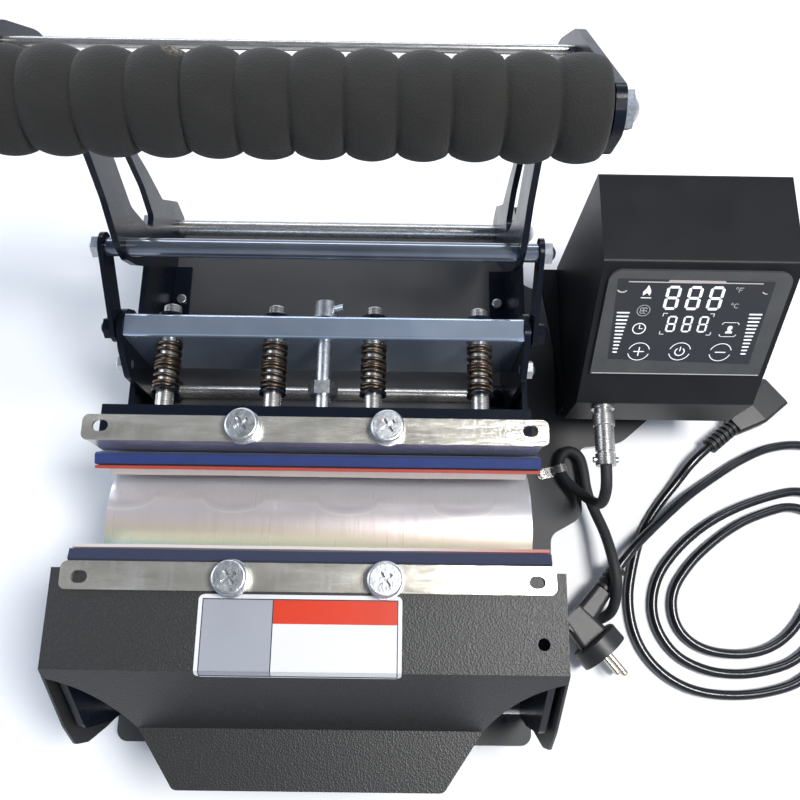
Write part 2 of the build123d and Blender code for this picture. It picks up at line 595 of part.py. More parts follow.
def adjusting_nut():
    plane = Plane(origin=(0, NUT_Y, GUIDE_Z), x_dir=(1, 0, 0), z_dir=(0, 1, 0))
    nut = extrude(plane * RegularPolygon(NUT_FLATS / 2, 6, major_radius=False), amount=NUT_H)
    return nut - extrude(plane * Circle(BOLT_R + FIT), amount=NUT_H)


# Control box

def box_profile(inset, back_y):
    """The side outline of the box, moved inwards by inset, as a face in (Y, Z)."""
    dy, dz = BOX_BEND_Y - BOX_FRONT_Y, BOX_TOP_Z - BOX_KNEE_Z
    length = math.hypot(dy, dz)
    top_cut = inset * (length - dy) / dz
    knee_drop = inset * (length - dz) / dy
    return [
        (BOX_FRONT_Y + inset, BOX_BOTTOM_Z + inset), (BOX_FRONT_Y + inset, BOX_KNEE_Z - knee_drop),
        (BOX_BEND_Y + top_cut, BOX_TOP_Z - inset), (back_y, BOX_TOP_Z - inset),
        (back_y, BOX_BOTTOM_Z + inset),
    ]


SLOPE = math.atan2(BOX_TOP_Z - BOX_KNEE_Z, BOX_BEND_Y - BOX_FRONT_Y)


def panel_plane(up, lift):
    """A plane on the sloped panel: up is the way up the slope from the knee, lift is outwards."""
    y = BOX_FRONT_Y + up * math.cos(SLOPE) - lift * math.sin(SLOPE)
    z = BOX_KNEE_Z + up * math.sin(SLOPE) + lift * math.cos(SLOPE)
    return Plane(origin=(BOX_LEFT_X + BOX_W / 2, y, z), x_dir=(1, 0, 0),
                 z_dir=(0, -math.sin(SLOPE), math.cos(SLOPE)))


def control_box_shell():
    outer = side_plate(box_profile(0, BOX_BACK_Y), [2, 3, 3, 2, 2], BOX_LEFT_X, BOX_W)
    hollow = side_plate(box_profile(BOX_WALL, BOX_BACK_Y + 5), [1, 2, 2, 1, 1],
                        BOX_LEFT_X + BOX_WALL, BOX_W - 2 * BOX_WALL)
    shell = outer - hollow
    window = panel_plane(GLASS_UP, -BOX_WALL - 1) * Rectangle(96, 62)
    shell -= extrude(window, amount=BOX_WALL + 2)
    return shell - rod_y(PLUG_X, PLUG_Z, 6.2, BOX_FRONT_Y - 1, BOX_FRONT_Y + 3)


def display_glass():
    face = panel_plane(GLASS_UP, 0) * rounded(
        [(-GLASS_W / 2, -GLASS_L / 2), (GLASS_W / 2, -GLASS_L / 2),
         (GLASS_W / 2, GLASS_L / 2), (-GLASS_W / 2, GLASS_L / 2)], [1, 1, 8, 8])
    return extrude(face, amount=GLASS_T)


def display_board():
    board = extrude(panel_plane(GLASS_UP, -9) * Rectangle(104, 70), amount=1.6)
    posts = []
    for x in (-49, 49):
        for y in (-32, 32):
            post = panel_plane(GLASS_UP, -7.4) * Pos(x, y) * Circle(2.5)
            posts.append(extrude(post, amount=7.4 - BOX_WALL - 0.1))
    digits = extrude(panel_plane(GLASS_UP, -7.4) * Pos(8, 12) * Rectangle(58, 30), amount=6.5)
    return board + posts + digits


def power_board():
    x0, x1 = BOX_LEFT_X + 14, BOX_LEFT_X + BOX_W - 14
    y0, y1 = BOX_FRONT_Y + 16, BOX_BACK_Y - 42
    low = BOX_BOTTOM_Z + BOX_WALL + 6
    board = box(x0, x1, y0, y1, low, low + 1.6)
    for x in (x0 + 6, x1 - 6):
        for y in (y0 + 6, y1 - 6):
            board += rod_z(x, y, 3, BOX_BOTTOM_Z + BOX_WALL + 0.1, low)
    top = low + 1.6
    board += box(x0 + 6, x0 + 38, y0 + 22, y0 + 50, top, top + 22)
    board += box(x1 - 34, x1 - 6, y0 + 30, y0 + 44, top, top + 16)
    board += box(x1 - 34, x1 - 6, y0 + 12, y0 + 24, top, top + 24)
    for i in range(3):
        board += rod_z(x0 + 48 + 9 * (i - 1), y0 + 12, 4, top, top + 12)
    return board


def control_box_back():
    y0 = BOX_BACK_Y - BOX_WALL - 0.1
    gap = BOX_WALL + 0.1
    x0, x1 = BOX_LEFT_X + gap, BOX_LEFT_X + BOX_W - gap
    panel = box(x0, x1, y0, y0 + BOX_WALL, BOX_BOTTOM_Z + gap, BOX_TOP_Z - gap)
    for x in (x0, x1 - 9):
        panel += box(x, x + 9, y0 - 9, y0, BOX_BOTTOM_Z + 60, BOX_BOTTOM_Z + 110)
    for i in range(6):
        slot = Plane(origin=(BOX_LEFT_X + 61, y0 - 1, BOX_TOP_Z - 22 - 7 * i), x_dir=(1, 0, 0),
                     z_dir=(0, 1, 0)) * SlotOverall(60, 3)
        panel -= extrude(slot, amount=5)
    module = box(INLET_X - 24.2, INLET_X + 24.2, y0 - 1, y0 + 3, INLET_Z - 13.7, INLET_Z + 13.7)
    return panel - module


def inlet_module():
    """The mains inlet and the recess of its rocker switch, in one moulded body."""
    y_out = BOX_BACK_Y + 2.5
    face = Plane(origin=(INLET_X, BOX_BACK_Y, INLET_Z), x_dir=(1, 0, 0), z_dir=(0, 1, 0))
    body = extrude(face * RectangleRounded(56, 31, 4), amount=2.5)
    body += box(INLET_X - 24, INLET_X + 24, BOX_BACK_Y - 24, BOX_BACK_Y, INLET_Z - 13.5, INLET_Z + 13.5)
    socket = rounded([(-12.2, -8.3), (12.2, -8.3), (12.2, 3.6), (7.5, 8.3), (-7.5, 8.3), (-12.2, 3.6)], 1)
    well = Plane(origin=(INLET_X + 10, y_out - 18, INLET_Z), x_dir=(1, 0, 0), z_dir=(0, 1, 0))
    body -= extrude(well * socket, amount=20)
    body -= box(INLET_X - 22, INLET_X - 8, BOX_BACK_Y - 9, y_out + 1, INLET_Z - 10, INLET_Z + 10)
    for x, z in ((-7, -1.5), (7, -1.5), (0, 3)):
        cx, cz = INLET_X + 10 + x, INLET_Z + z
        body += box(cx - 1, cx + 1, y_out - 19, y_out - 3, cz - 2, cz + 2)
    return body


SWITCH_Y = BOX_BACK_Y - 2.0


def power_switch():
    """A rocker that tips in its recess about a pin along X."""
    x = INLET_X - 15
    plane = Plane(origin=(x - 6.4, 0, 0), x_dir=(0, 1, 0), z_dir=(1, 0, 0))
    outline = make_face(Curve() + [
        ThreePointArc((BOX_BACK_Y + 3.0, INLET_Z - 8.6), (BOX_BACK_Y + 1.2, INLET_Z),
                      (BOX_BACK_Y + 3.0, INLET_Z + 8.6)),
        Line((BOX_BACK_Y + 3.0, INLET_Z + 8.6), (SWITCH_Y - 3, INLET_Z + 5)),
        Line((SWITCH_Y - 3, INLET_Z + 5), (SWITCH_Y - 3, INLET_Z - 5)),
        Line((SWITCH_Y - 3, INLET_Z - 5), (BOX_BACK_Y + 3.0, INLET_Z - 8.6)),
    ])
    rocker = extrude(plane * outline, amount=12.8)
    return rocker - rod_x(SWITCH_Y, INLET_Z, 1.2, x - 6.4, x + 6.4)


def control_box_stand():
    """A bent bracket: two legs on the base and a plate under the box."""
    top = BOX_BOTTOM_Z - 0.1
    plate = extrude(Plane.XY.offset(top - 3) * rounded(
        [(BOX_LEFT_X - 15, 232), (BOX_LEFT_X + 3, 118), (BOX_LEFT_X + 72, 118), (BOX_LEFT_X + 72, 232)],
        4), amount=3)
    for x, out in ((BOX_LEFT_X + 4, 12), (BOX_LEFT_X + 69, -14)):
        plate += box(x, x + 3, 126, 206, BASE_Z, top - 2)
        low = min(x, x + out + 3)
        plate += box(low, low + abs(out) + 3, 126, 206, BASE_Z, BASE_Z + 3)
        for y in (140, 192):
            plate -= rod_z(x + out * 0.75 + 1.5, y, 2.5, BASE_Z, BASE_Z + 3)
    return plate


def stand_screws():
    pieces = []
    for x, out in ((BOX_LEFT_X + 4, 12), (BOX_LEFT_X + 69, -14)):
        for y in (140, 192):
            at = x + out * 0.75 + 1.5
            head = rod_z(at, y, 4.2, BASE_Z + 3, BASE_Z + 6)
            head = fillet(head.edges().group_by(Axis.Z)[-1], 1.0)
            pieces.append(head + rod_z(at, y, 2.5, BASE_Z, BASE_Z + 3))
    return pieces


# Connector of the heater lead

def aviation_socket():
    body = rod_y(PLUG_X, PLUG_Z, 6.0, BOX_FRONT_Y - 7, BOX_FRONT_Y + 12)
    body += rod_y(PLUG_X, PLUG_Z, 8.0, BOX_FRONT_Y - 2, BOX_FRONT_Y)
    plane = Plane(origin=(PLUG_X, BOX_FRONT_Y + BOX_WALL, PLUG_Z), x_dir=(1, 0, 0), z_dir=(0, 1, 0))
    return body + extrude(plane * RegularPolygon(8, 6), amount=2.5)


def aviation_plug():
    ring = rod_y(PLUG_X, PLUG_Z, 7.7, 95.5, 104)
    ring = chamfer(ring.edges().group_by(Axis.Y)[0], 0.8)
    body = ring + rod_y(PLUG_X, PLUG_Z, 6.7, 78, 95.5) + rod_y(PLUG_X, PLUG_Z, 5.4, 76, 78)
    body += rod_y(PLUG_X, PLUG_Z, 6.9, 68, 76)
    body += rod_x(72, PLUG_Z, 2.0, PLUG_X - 8.6, PLUG_X + 8.6)
    body -= rod_y(PLUG_X, PLUG_Z, 6.0 + FIT, BOX_FRONT_Y - 7, 106)
    return body


def lead_x(share):
    """The lead's place between the frame plate, at 0, and the neck of the mains plug, at 1."""
    return FRAME_X + 17 + share * (203.5 - FRAME_X - 17)


LEAD_ROUTE = [
    (PLUG_X, 67.9, PLUG_Z), (PLUG_X, 56, PLUG_Z), (194.5, 48.5, 80), (196, 46.5, 64),
    (196.5, 48.5, 48), (194.5, 54.5, 33), (188, 63, 22), (178.5, 74, 16.5), (175.5, 87, 16.5),
    (182.5, 96.5, 17), (192.5, 92, 18), (195, 79, 19), (196, 63, 19.5), (201, 47, 22),
    (206.5, 31, 27), (209.5, 14, 32), (212, -3, 33.5), (212.5, -17.5, 26), (211, -28, 14.5),
    (203.5, -32.5, 6.2), (lead_x(0.763), -35.5, 4.5), (lead_x(0.474), -38, 4.4),
    (lead_x(0.206), -38, 8.5), (lead_x(0), -34.5, 17.5), (FRAME_X + 8, -31, 23.5),
    (FRAME_X - 10, LEAD_HOLE_Y, LEAD_HOLE_Z),
]


def lead_clip():
    """A P-shaped steel clip: a band round the lead, and a tab screwed to the base plate."""
    a, b = [Vector(*point) for point in LEAD_ROUTE[7:9]]
    mid, along = (a + b) * 0.5, (b - a).normalized()
    band_r = mid.Z - BASE_Z
    plane = Plane(origin=mid - along * 3, x_dir=(0, 0, 1), z_dir=along)
    band = extrude(plane * Circle(band_r), amount=6)
    tab_plane = Plane(origin=(mid.X, mid.Y, BASE_Z), x_dir=(along.Y, -along.X, 0), z_dir=(0, 0, 1))
    tab = extrude(tab_plane * Pos(-8, 0) * RectangleRounded(19, 8, 3.6), amount=1.2)
    clip = band + tab
    clip -= extrude(Plane(origin=mid - along * 9, x_dir=(0, 0, 1), z_dir=along)
                    * Circle(LEAD_R + 0.6), amount=18)
    at = mid + Vector(-along.Y, along.X, 0) * 13
    clip -= rod_z(at.X, at.Y, 2.0, BASE_Z, BASE_Z + 1.2)
    head = rod_z(at.X, at.Y, 3.8, BASE_Z + 1.2, BASE_Z + 3.8)
    head = fillet(head.edges().group_by(Axis.Z)[-1], 1.0)
    for turn in (10, 100):
        head -= Pos(at.X, at.Y, BASE_Z + 3.4) * Rot(0, 0, turn) * Box(4, 0.9, 1.6)
    return [clip, head + rod_z(at.X, at.Y, 2.0, BASE_Z, BASE_Z + 1.2)]


# Power cord, lying loose on the table. Its loops are given as points with a heading in degrees.

LIE = CORD_R + 0.1
COIL = [
    (233.5, 12, LIE, 244, 0), (226.8, -18, LIE, 268, 0), (247, -67.5, LIE, 310, 0),
    (300, -85, LIE, 2, 0), (352, -74, LIE, 20, 0), (396, -8, LIE, 84, 0), (399, 34, LIE, 97, 0),
    (370, 68, LIE, 187, 0), (316, 54, LIE, 203, 0), (270, 22, LIE, 229, 0),
    (245, -26, LIE, 270, 0), (260, -56, LIE, 313, 0), (304, -69.5, LIE, 3, 0),
    (348, -60, LIE, 22, 0), (384, -12, LIE, 82, 0), (387, 24, LIE, 96, 0), (361, 54.5, LIE, 182, 0),
    (322, 43, LIE, 205, 0), (284, 14, LIE, 229, 0), (261, -24, LIE, 272, 0),
    (276, -48.5, LIE, 324, 0), (306, -55.5, LIE, 4, 0), (344, -44, LIE, 32, 0),
    (366, -18, LIE, 58, 4), (385, 26, LIE + 8.6, 66, 0), (398, 56, LIE + 8.6, 78, 0),
    (400, 84, LIE + 0.3, 98, -4), (377, 104, LIE, 178, 0), (349, 102.5, LIE, 188, 0),
    (324, 91.5, LIE, 208, 0),
]


def coil_wire():
    points, tangents = [], []
    for x, y, z, heading, climb in COIL:
        a, c = math.radians(heading), math.radians(climb)
        points.append(Vector(x, y, z))
        tangents.append(Vector(math.cos(a) * math.cos(c), math.sin(a) * math.cos(c), math.sin(c)))
    tail = CORD_R * 2
    points = [points[0] - tangents[0] * tail] + points + [points[-1] + tangents[-1] * tail]
    inner = biarc_wire(points[1:-1], tangents)
    ends = [Edge.make_line(points[0], points[1]), Edge.make_line(points[-2], points[-1])]
    return Wire([ends[0]] + list(inner.edges()) + [ends[1]])


def least_gap(wire, r):
    """The least gap between turns of a tube, from points along its centre line."""
    step = 3.0
    count = int(wire.length / step)
    pts = [wire.position_at(i / count) for i in range(count + 1)]
    away = int(12 * r / step)
    return min((pts[i] - pts[j]).length for i in range(len(pts)) for j in range(i + away, len(pts))) - 2 * r


def bend_radii(wire):
    return sorted(round(e.radius, 1) for e in wire.edges() if e.geom_type == GeomType.CIRCLE)


C13_FACE, C13_WAY = (352.0, 146.0, 12.0), (-0.774, -0.633, 0.0)
C13_LENGTH = 71.0
MAINS_FACE, MAINS_WAY = (203.5, -56.5, 18.6), (0.640, -0.768, 0.0)
MAINS_R = 18.5
MAINS_ELBOW, MAINS_ARM_WAY = 28.0, (0.620, 0.784, 0.0)
MAINS_ARM, MAINS_RELIEF = 30.0, 22.0


def along_from(origin, way, distance):
    return tuple(o + w * distance for o, w in zip(origin, way))


def ribs_along(origin, way, start, count, pitch, r, rib_r):
    """A bend relief: a tube of soft plastic with rings, along way from origin."""
    tube = Plane(origin=along_from(origin, way, start - 0.5), z_dir=way) * Circle(r)
    body = extrude(tube, amount=count * pitch + 0.5)
    for i in range(count):
        low = along_from(origin, way, start + (i + 0.25) * pitch)
        body += extrude(Plane(origin=low, z_dir=way) * Circle(rib_r), amount=pitch * 0.55)
    return body


def cord_connector():
    """The moulded connector that fits the inlet, lying loose on the table."""
    side = (C13_WAY[1], -C13_WAY[0], 0)
    def at(d, w, h, corner):
        plane = Plane(origin=along_from(C13_FACE, C13_WAY, d), x_dir=side, z_dir=C13_WAY)
        return plane * RectangleRounded(w, h, corner)
    body = extrude(at(0, 27, 20, 3), amount=24)
    body += loft([at(23.9, 27, 20, 3), at(44, 15, 14, 3)])
    body += ribs_along(C13_FACE, C13_WAY, 44, 6, 4.5, 4.6, 6.4)
    face = Plane(origin=along_from(C13_FACE, C13_WAY, 0), x_dir=side, z_dir=C13_WAY)
    for x, y in ((-7, -1.5), (7, -1.5), (0, 3)):
        body -= extrude(face * Pos(x, y, -1) * Rectangle(2.4, 4.6), amount=18)
    return body


def mains_plug():
    """A right-angled plug: a round face with two pins, a neck, an elbow and a ribbed arm."""
    back = tuple(-w for w in MAINS_WAY)
    disc = extrude(Plane(origin=MAINS_FACE, z_dir=back) * Circle(MAINS_R), amount=13)
    disc = chamfer(disc.edges().group_by(Axis(MAINS_FACE, back))[-1], 1.2)
    def neck_at(d, w, h):
        plane = Plane(origin=along_from(MAINS_FACE, back, d), x_dir=(MAINS_WAY[1], -MAINS_WAY[0], 0),
                      z_dir=back)
        return plane * RectangleRounded(w, h, 4)
    neck = loft([neck_at(12.9, 25, 16), neck_at(MAINS_ELBOW + 9, 20, 15)])
    elbow = along_from(MAINS_FACE, back, MAINS_ELBOW)
    def arm_at(d, w, h):
        plane = Plane(origin=along_from(elbow, MAINS_ARM_WAY, d),
                      x_dir=(MAINS_ARM_WAY[1], -MAINS_ARM_WAY[0], 0), z_dir=MAINS_ARM_WAY)
        return plane * RectangleRounded(w, h, 4)
    arm = loft([arm_at(-9, 18, 15), arm_at(MAINS_ARM, 14, 13)])
    relief = ribs_along(elbow, MAINS_ARM_WAY, MAINS_ARM, 5, MAINS_RELIEF / 5, 4.8, 6.6)
    return disc + neck + arm + relief, along_from(elbow, MAINS_ARM_WAY, MAINS_ARM + MAINS_RELIEF)


def mains_pins():
    pins = []
    for z in (-9.5, 9.5):
        base = along_from(MAINS_FACE, MAINS_WAY, 0)
        plane = Plane(origin=(base[0], base[1], base[2] + z), z_dir=MAINS_WAY)
        pin = extrude(plane * Circle(2.4), amount=19)
        pins.append(fillet(pin.edges().group_by(Axis(base, MAINS_WAY))[-1], 1.6))
    return pins


# Root: everything that stands still

write("base_plate", base_plate())
write("rubber_feet", *[foot(x, y) for x in (-130, 130) for y in (-104, 268)])
write("frame_side_plate_left", frame_plate(-1))
write("frame_side_plate_right", frame_plate(1))
write("frame_screws", *[tab_screw(side, y) for side in (-1, 1) for y in (-70, 220)])
write("front_cover", front_cover())
tie_end = COVER_HALF_X + 0.05
write("front_tie_rod", rod_x(TIE_Y, TIE_Z, TIE_R, -tie_end - 5, tie_end + 5))
write("tie_rod_nuts", *[dome_nut(side * tie_end, TIE_Y, TIE_Z, side, 13, 6, TIE_R) for side in (-1, 1)])
write("front_clamp_strip", FRONT_STRIP)
screws = []
for x in (-CLAMP_SCREW_X, CLAMP_SCREW_X):
    screws += clamp_screw(x, FRONT_SCREW_Y, FRONT_STRIP_Z, FRONT_STRIP_Z - 12)
    screws.append(front_nut(x))
write("front_clamp_screws", *screws)
write("cradle_sheet", pad_cradle())
write("cradle_ribs", cradle_rib(-RIB_X), cradle_rib(RIB_X))
write("pad_sponge", pad_layer(SPONGE_BORE_R, SPONGE_R, PAD_HALF_X))
write("pad_heater", pad_layer(HEATER_BORE_R, HEATER_BORE_R + HEATER_T, PAD_HALF_X))
write("liner_sheet", liner_sheet())

pivot_end = FRAME_X + FRAME_T
write("handle_pivot_rod", rod_x(PIVOT_Y, PIVOT_Z, PIVOT_R, -pivot_end - 8, pivot_end + 8))
write("pivot_rod_nuts", *[dome_nut(side * pivot_end, PIVOT_Y, PIVOT_Z, side, 19, 9, PIVOT_R)
                          for side in (-1, 1)])
spacers = []
for side in (-1, 1):
    low = ARM_X + ARM_T + SEAT
    x0 = mirrored(low, FRAME_X - SEAT - low, side)
    x1 = x0 + FRAME_X - SEAT - low
    spacers.append(rod_x(PIVOT_Y, PIVOT_Z, 10, x0, x1) - rod_x(PIVOT_Y, PIVOT_Z, PIVOT_R + FIT, x0, x1))
write("pivot_spacers", *spacers)

write("control_box_shell", control_box_shell())
write("control_box_back", control_box_back())
write("display_glass", display_glass())
write("display_board", *display_board().solids())
write("power_board", *power_board().solids())
write("inlet_module", inlet_module())
write("control_box_stand", control_box_stand())
write("stand_screws", *stand_screws())
write("heater_socket", aviation_socket())
write("heater_plug", aviation_plug())
write("lead_clip", *lead_clip())

# Leads

write("heater_lead", cord_tube("heater_lead", LEAD_ROUTE, LEAD_R))
loops = coil_wire()
write("power_cord_coil", tube_along(loops, CORD_R))
print("coil length", round(loops.length), "least gap to itself", round(least_gap(loops, CORD_R), 2))
print("coil radii", bend_radii(loops))
connector_end = along_from(C13_FACE, C13_WAY, C13_LENGTH + 0.1)
coil_in, coil_out = loops.position_at(0), loops.position_at(1)
in_way, out_way = loops.tangent_at(0), loops.tangent_at(1)
CONNECTOR_RUN = [
    connector_end, along_from(connector_end, C13_WAY, 16), (270.5, 72.5, 5.2), (255, 54.5, LIE),
    tuple(coil_in - in_way * 18), tuple(coil_in - in_way * 0.05),
]
write("power_cord_connector_run", cord_tube("connector run", CONNECTOR_RUN, CORD_R))
plug_body, plug_end = mains_plug()
PLUG_RUN = [
    tuple(coil_out + out_way * 0.05), tuple(coil_out + out_way * 20), (281, 64.5, 6), (262, 49, 11),
    (245, 34.5, 15.5), along_from(plug_end, MAINS_ARM_WAY, 17),
    along_from(plug_end, MAINS_ARM_WAY, 0.1),
]
write("power_cord_plug_run", cord_tube("plug run", PLUG_RUN, CORD_R))
write("cord_connector", cord_connector())
write("mains_plug", plug_body)
write("mains_plug_pins", *mains_pins())

# Mains switch, handle and links

write("power_switch", power_switch())
write("handle_arm_left", handle_arm(-1))
write("handle_arm_right", handle_arm(1))
grip_end = ARM_X + ARM_T + FIT
write("grip_rod", rod_x(GRIP_Y, GRIP_Z, GRIP_ROD_R, -grip_end - 4, grip_end + 4))
write("grip_foam", foam_grip())
write("grip_nuts", *[dome_nut(side * grip_end, GRIP_Y, GRIP_Z, side, 13.5, 5, GRIP_ROD_R)
                     for side in (-1, 1)])
write("handle_strut", rod_x(STRUT_Y, STRUT_Z, STRUT_R, -ARM_X - ARM_T, ARM_X + ARM_T))
shoulder = LINK_X - SEAT
crank = rod_x(CRANK_Y, CRANK_Z, CRANK_R, -shoulder, shoulder)
link_out = LINK_X + LINK_T + SEAT
crank += rod_x(CRANK_Y, CRANK_Z, LINK_PIN_R, -link_out - 4, link_out + 4)
write("crank_rod", crank)
write("crank_rod_nuts", *[dome_nut(side * link_out, CRANK_Y, CRANK_Z, side, 13, 5, LINK_PIN_R)
                          for side in (-1, 1)])
write("toggle_links", link_plate(-1), link_plate(1))

# Press frame, clamp bar and adjusting bolt

write("pressure_beam", pressure_beam())
write("press_end_plates", press_plate(-1), press_plate(1))
write("press_bolts", press_bolt(-1), press_bolt(1))
write("lower_rod", rod_x(LOWER_ROD_Y, LOWER_ROD_Z, LOWER_ROD_R, -FRAME_X - FRAME_T, FRAME_X + FRAME_T))
write("lower_collars", lower_collar(-1), lower_collar(1))
write("pressure_springs", *[spring(x) for x in GUIDE_X])
write("moving_bar", moving_bar())
write("guide_rods", *[guide_rod(x) for x in GUIDE_X])
write("spring_clips", *[piece for x in GUIDE_X for piece in rod_clips(x)])
write("rear_clamp_strip", REAR_STRIP)
screws = []
for x in (-CLAMP_SCREW_X, CLAMP_SCREW_X):
    screws += clamp_screw(x, REAR_SCREW_Y, REAR_STRIP_Z, REAR_STRIP_Z - 6)
write("rear_clamp_screws", *screws)
write("adjusting_bolt", adjusting_bolt())
write("adjusting_nut", adjusting_nut())
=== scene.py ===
# %% [markdown]
# # A tumbler heat press, dressed for its portrait
#
# The machine's metal is already modelled to size. This file loads it as a fixed frame, gives
# every surface its finish, and adds what a solid modeller is poor at: the ribbed foam of the
# handle, the sponge pad, the thin rolled liner, the cords and the printed display.
#
# X runs along the tumbler, Y to the back, Z up from the table. The points and sizes of cords,
# pieces and prints are in millimetres until MM turns them into metres. The camera, the lamps, the
# materials and what the frame is told are in metres.

# %% The frame
import json
import math

import bmesh
import bpy
from mathutils import Matrix, Vector


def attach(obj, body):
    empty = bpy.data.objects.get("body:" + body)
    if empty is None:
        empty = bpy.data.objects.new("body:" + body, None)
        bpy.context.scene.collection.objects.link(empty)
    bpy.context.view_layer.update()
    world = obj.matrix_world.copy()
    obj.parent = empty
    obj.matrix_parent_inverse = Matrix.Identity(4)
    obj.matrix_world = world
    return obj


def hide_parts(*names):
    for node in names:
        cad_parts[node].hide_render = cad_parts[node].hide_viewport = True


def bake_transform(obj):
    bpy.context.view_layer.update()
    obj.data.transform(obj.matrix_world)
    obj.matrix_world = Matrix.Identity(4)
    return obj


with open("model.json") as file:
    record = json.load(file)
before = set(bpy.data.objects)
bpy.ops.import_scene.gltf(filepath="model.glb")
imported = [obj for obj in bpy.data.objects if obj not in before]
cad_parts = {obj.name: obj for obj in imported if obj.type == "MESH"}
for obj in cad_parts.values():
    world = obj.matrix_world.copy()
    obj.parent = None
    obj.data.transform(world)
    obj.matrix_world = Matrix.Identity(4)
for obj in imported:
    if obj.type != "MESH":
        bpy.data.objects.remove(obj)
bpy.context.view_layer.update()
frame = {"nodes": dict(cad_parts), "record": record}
MM = 0.001

# %% [markdown]
# ## The camera
#
# The photograph was taken from nearly overhead, a little in front of the machine and close to
# it, so the handle looms large and the table parts look small. The camera's place and tilt were
# worked out from edges whose true sizes are known, such as rods, nuts and connectors.

# %% The camera
CAMERA_AT = Vector((0.0487, -0.0490, 0.6424))
CAMERA_PITCH = math.radians(73.6)      # below the horizon
CAMERA_YAW = math.radians(0.81)
CAMERA_ROLL = math.radians(-1.59)
FOCAL_LENGTH = 36.7                    # for a 36 mm wide sensor

ahead = Vector((math.sin(CAMERA_YAW) * math.cos(CAMERA_PITCH),
                math.cos(CAMERA_YAW) * math.cos(CAMERA_PITCH), -math.sin(CAMERA_PITCH)))
level = Vector((math.cos(CAMERA_YAW), -math.sin(CAMERA_YAW), 0))
down = ahead.cross(level)
right = level * math.cos(CAMERA_ROLL) + down * math.sin(CAMERA_ROLL)
below = down * math.cos(CAMERA_ROLL) - level * math.sin(CAMERA_ROLL)

lens = bpy.data.cameras.new("photo_camera")
lens.lens, lens.sensor_width, lens.clip_start = FOCAL_LENGTH, 36.0, 0.01
camera = bpy.data.objects.new("photo_camera", lens)
turn = Matrix((right, -below, -ahead)).transposed()
camera.matrix_world = Matrix.Translation(CAMERA_AT) @ turn.to_4x4()
bpy.context.scene.collection.objects.link(camera)
bpy.context.scene.camera = camera

# %% [markdown]
# ## Sums on shader sockets
#
# A finish is easier to read as a sum than as a tangle of nodes. `Num` stands for one socket and
# adds a Math node for each operator. `Finish` is one material: its `node` method makes any
# other node from a type, its settings and the values or links of its sockets.

# %% Num, a socket that takes part in sums
class Num:
    def __init__(self, tree, socket):
        self.tree, self.socket = tree, socket

    def _sum(self, operation, *values):
        node = self.tree.nodes.new("ShaderNodeMath")
        node.operation = operation
        for slot, value in zip(node.inputs, values):
            if isinstance(value, Num):
                self.tree.links.new(value.socket, slot)
            else:
                slot.default_value = value
        return Num(self.tree, node.outputs[0])

    def __add__(self, other):
        return self._sum("ADD", self, other)

    def __radd__(self, other):
        return self._sum("ADD", other, self)

    def __sub__(self, other):
        return self._sum("SUBTRACT", self, other)

    def __rsub__(self, other):
        return self._sum("SUBTRACT", other, self)

    def __mul__(self, other):
        return self._sum("MULTIPLY", self, other)

    def __rmul__(self, other):
        return self._sum("MULTIPLY", other, self)

    def __gt__(self, other):
        return self._sum("GREATER_THAN", self, other)

    def __lt__(self, other):
        return self._sum("LESS_THAN", self, other)

    def __abs__(self):
        return self._sum("ABSOLUTE", self)

    def sine(self):
        return self._sum("SINE", self)

    def root(self):
        return self._sum("SQRT", self)

    def clamp(self):
        result = self + 0.0
        result.socket.node.use_clamp = True
        return result


# %% [markdown]
# ## One material
#
# Real surfaces are never one flat colour, so each finish keeps a plain base value and lets noise
# vary what a hand or the air varies: colour, roughness and relief. Sizes of noise are in metres,
# so that pits and scratches come out at their true scale.

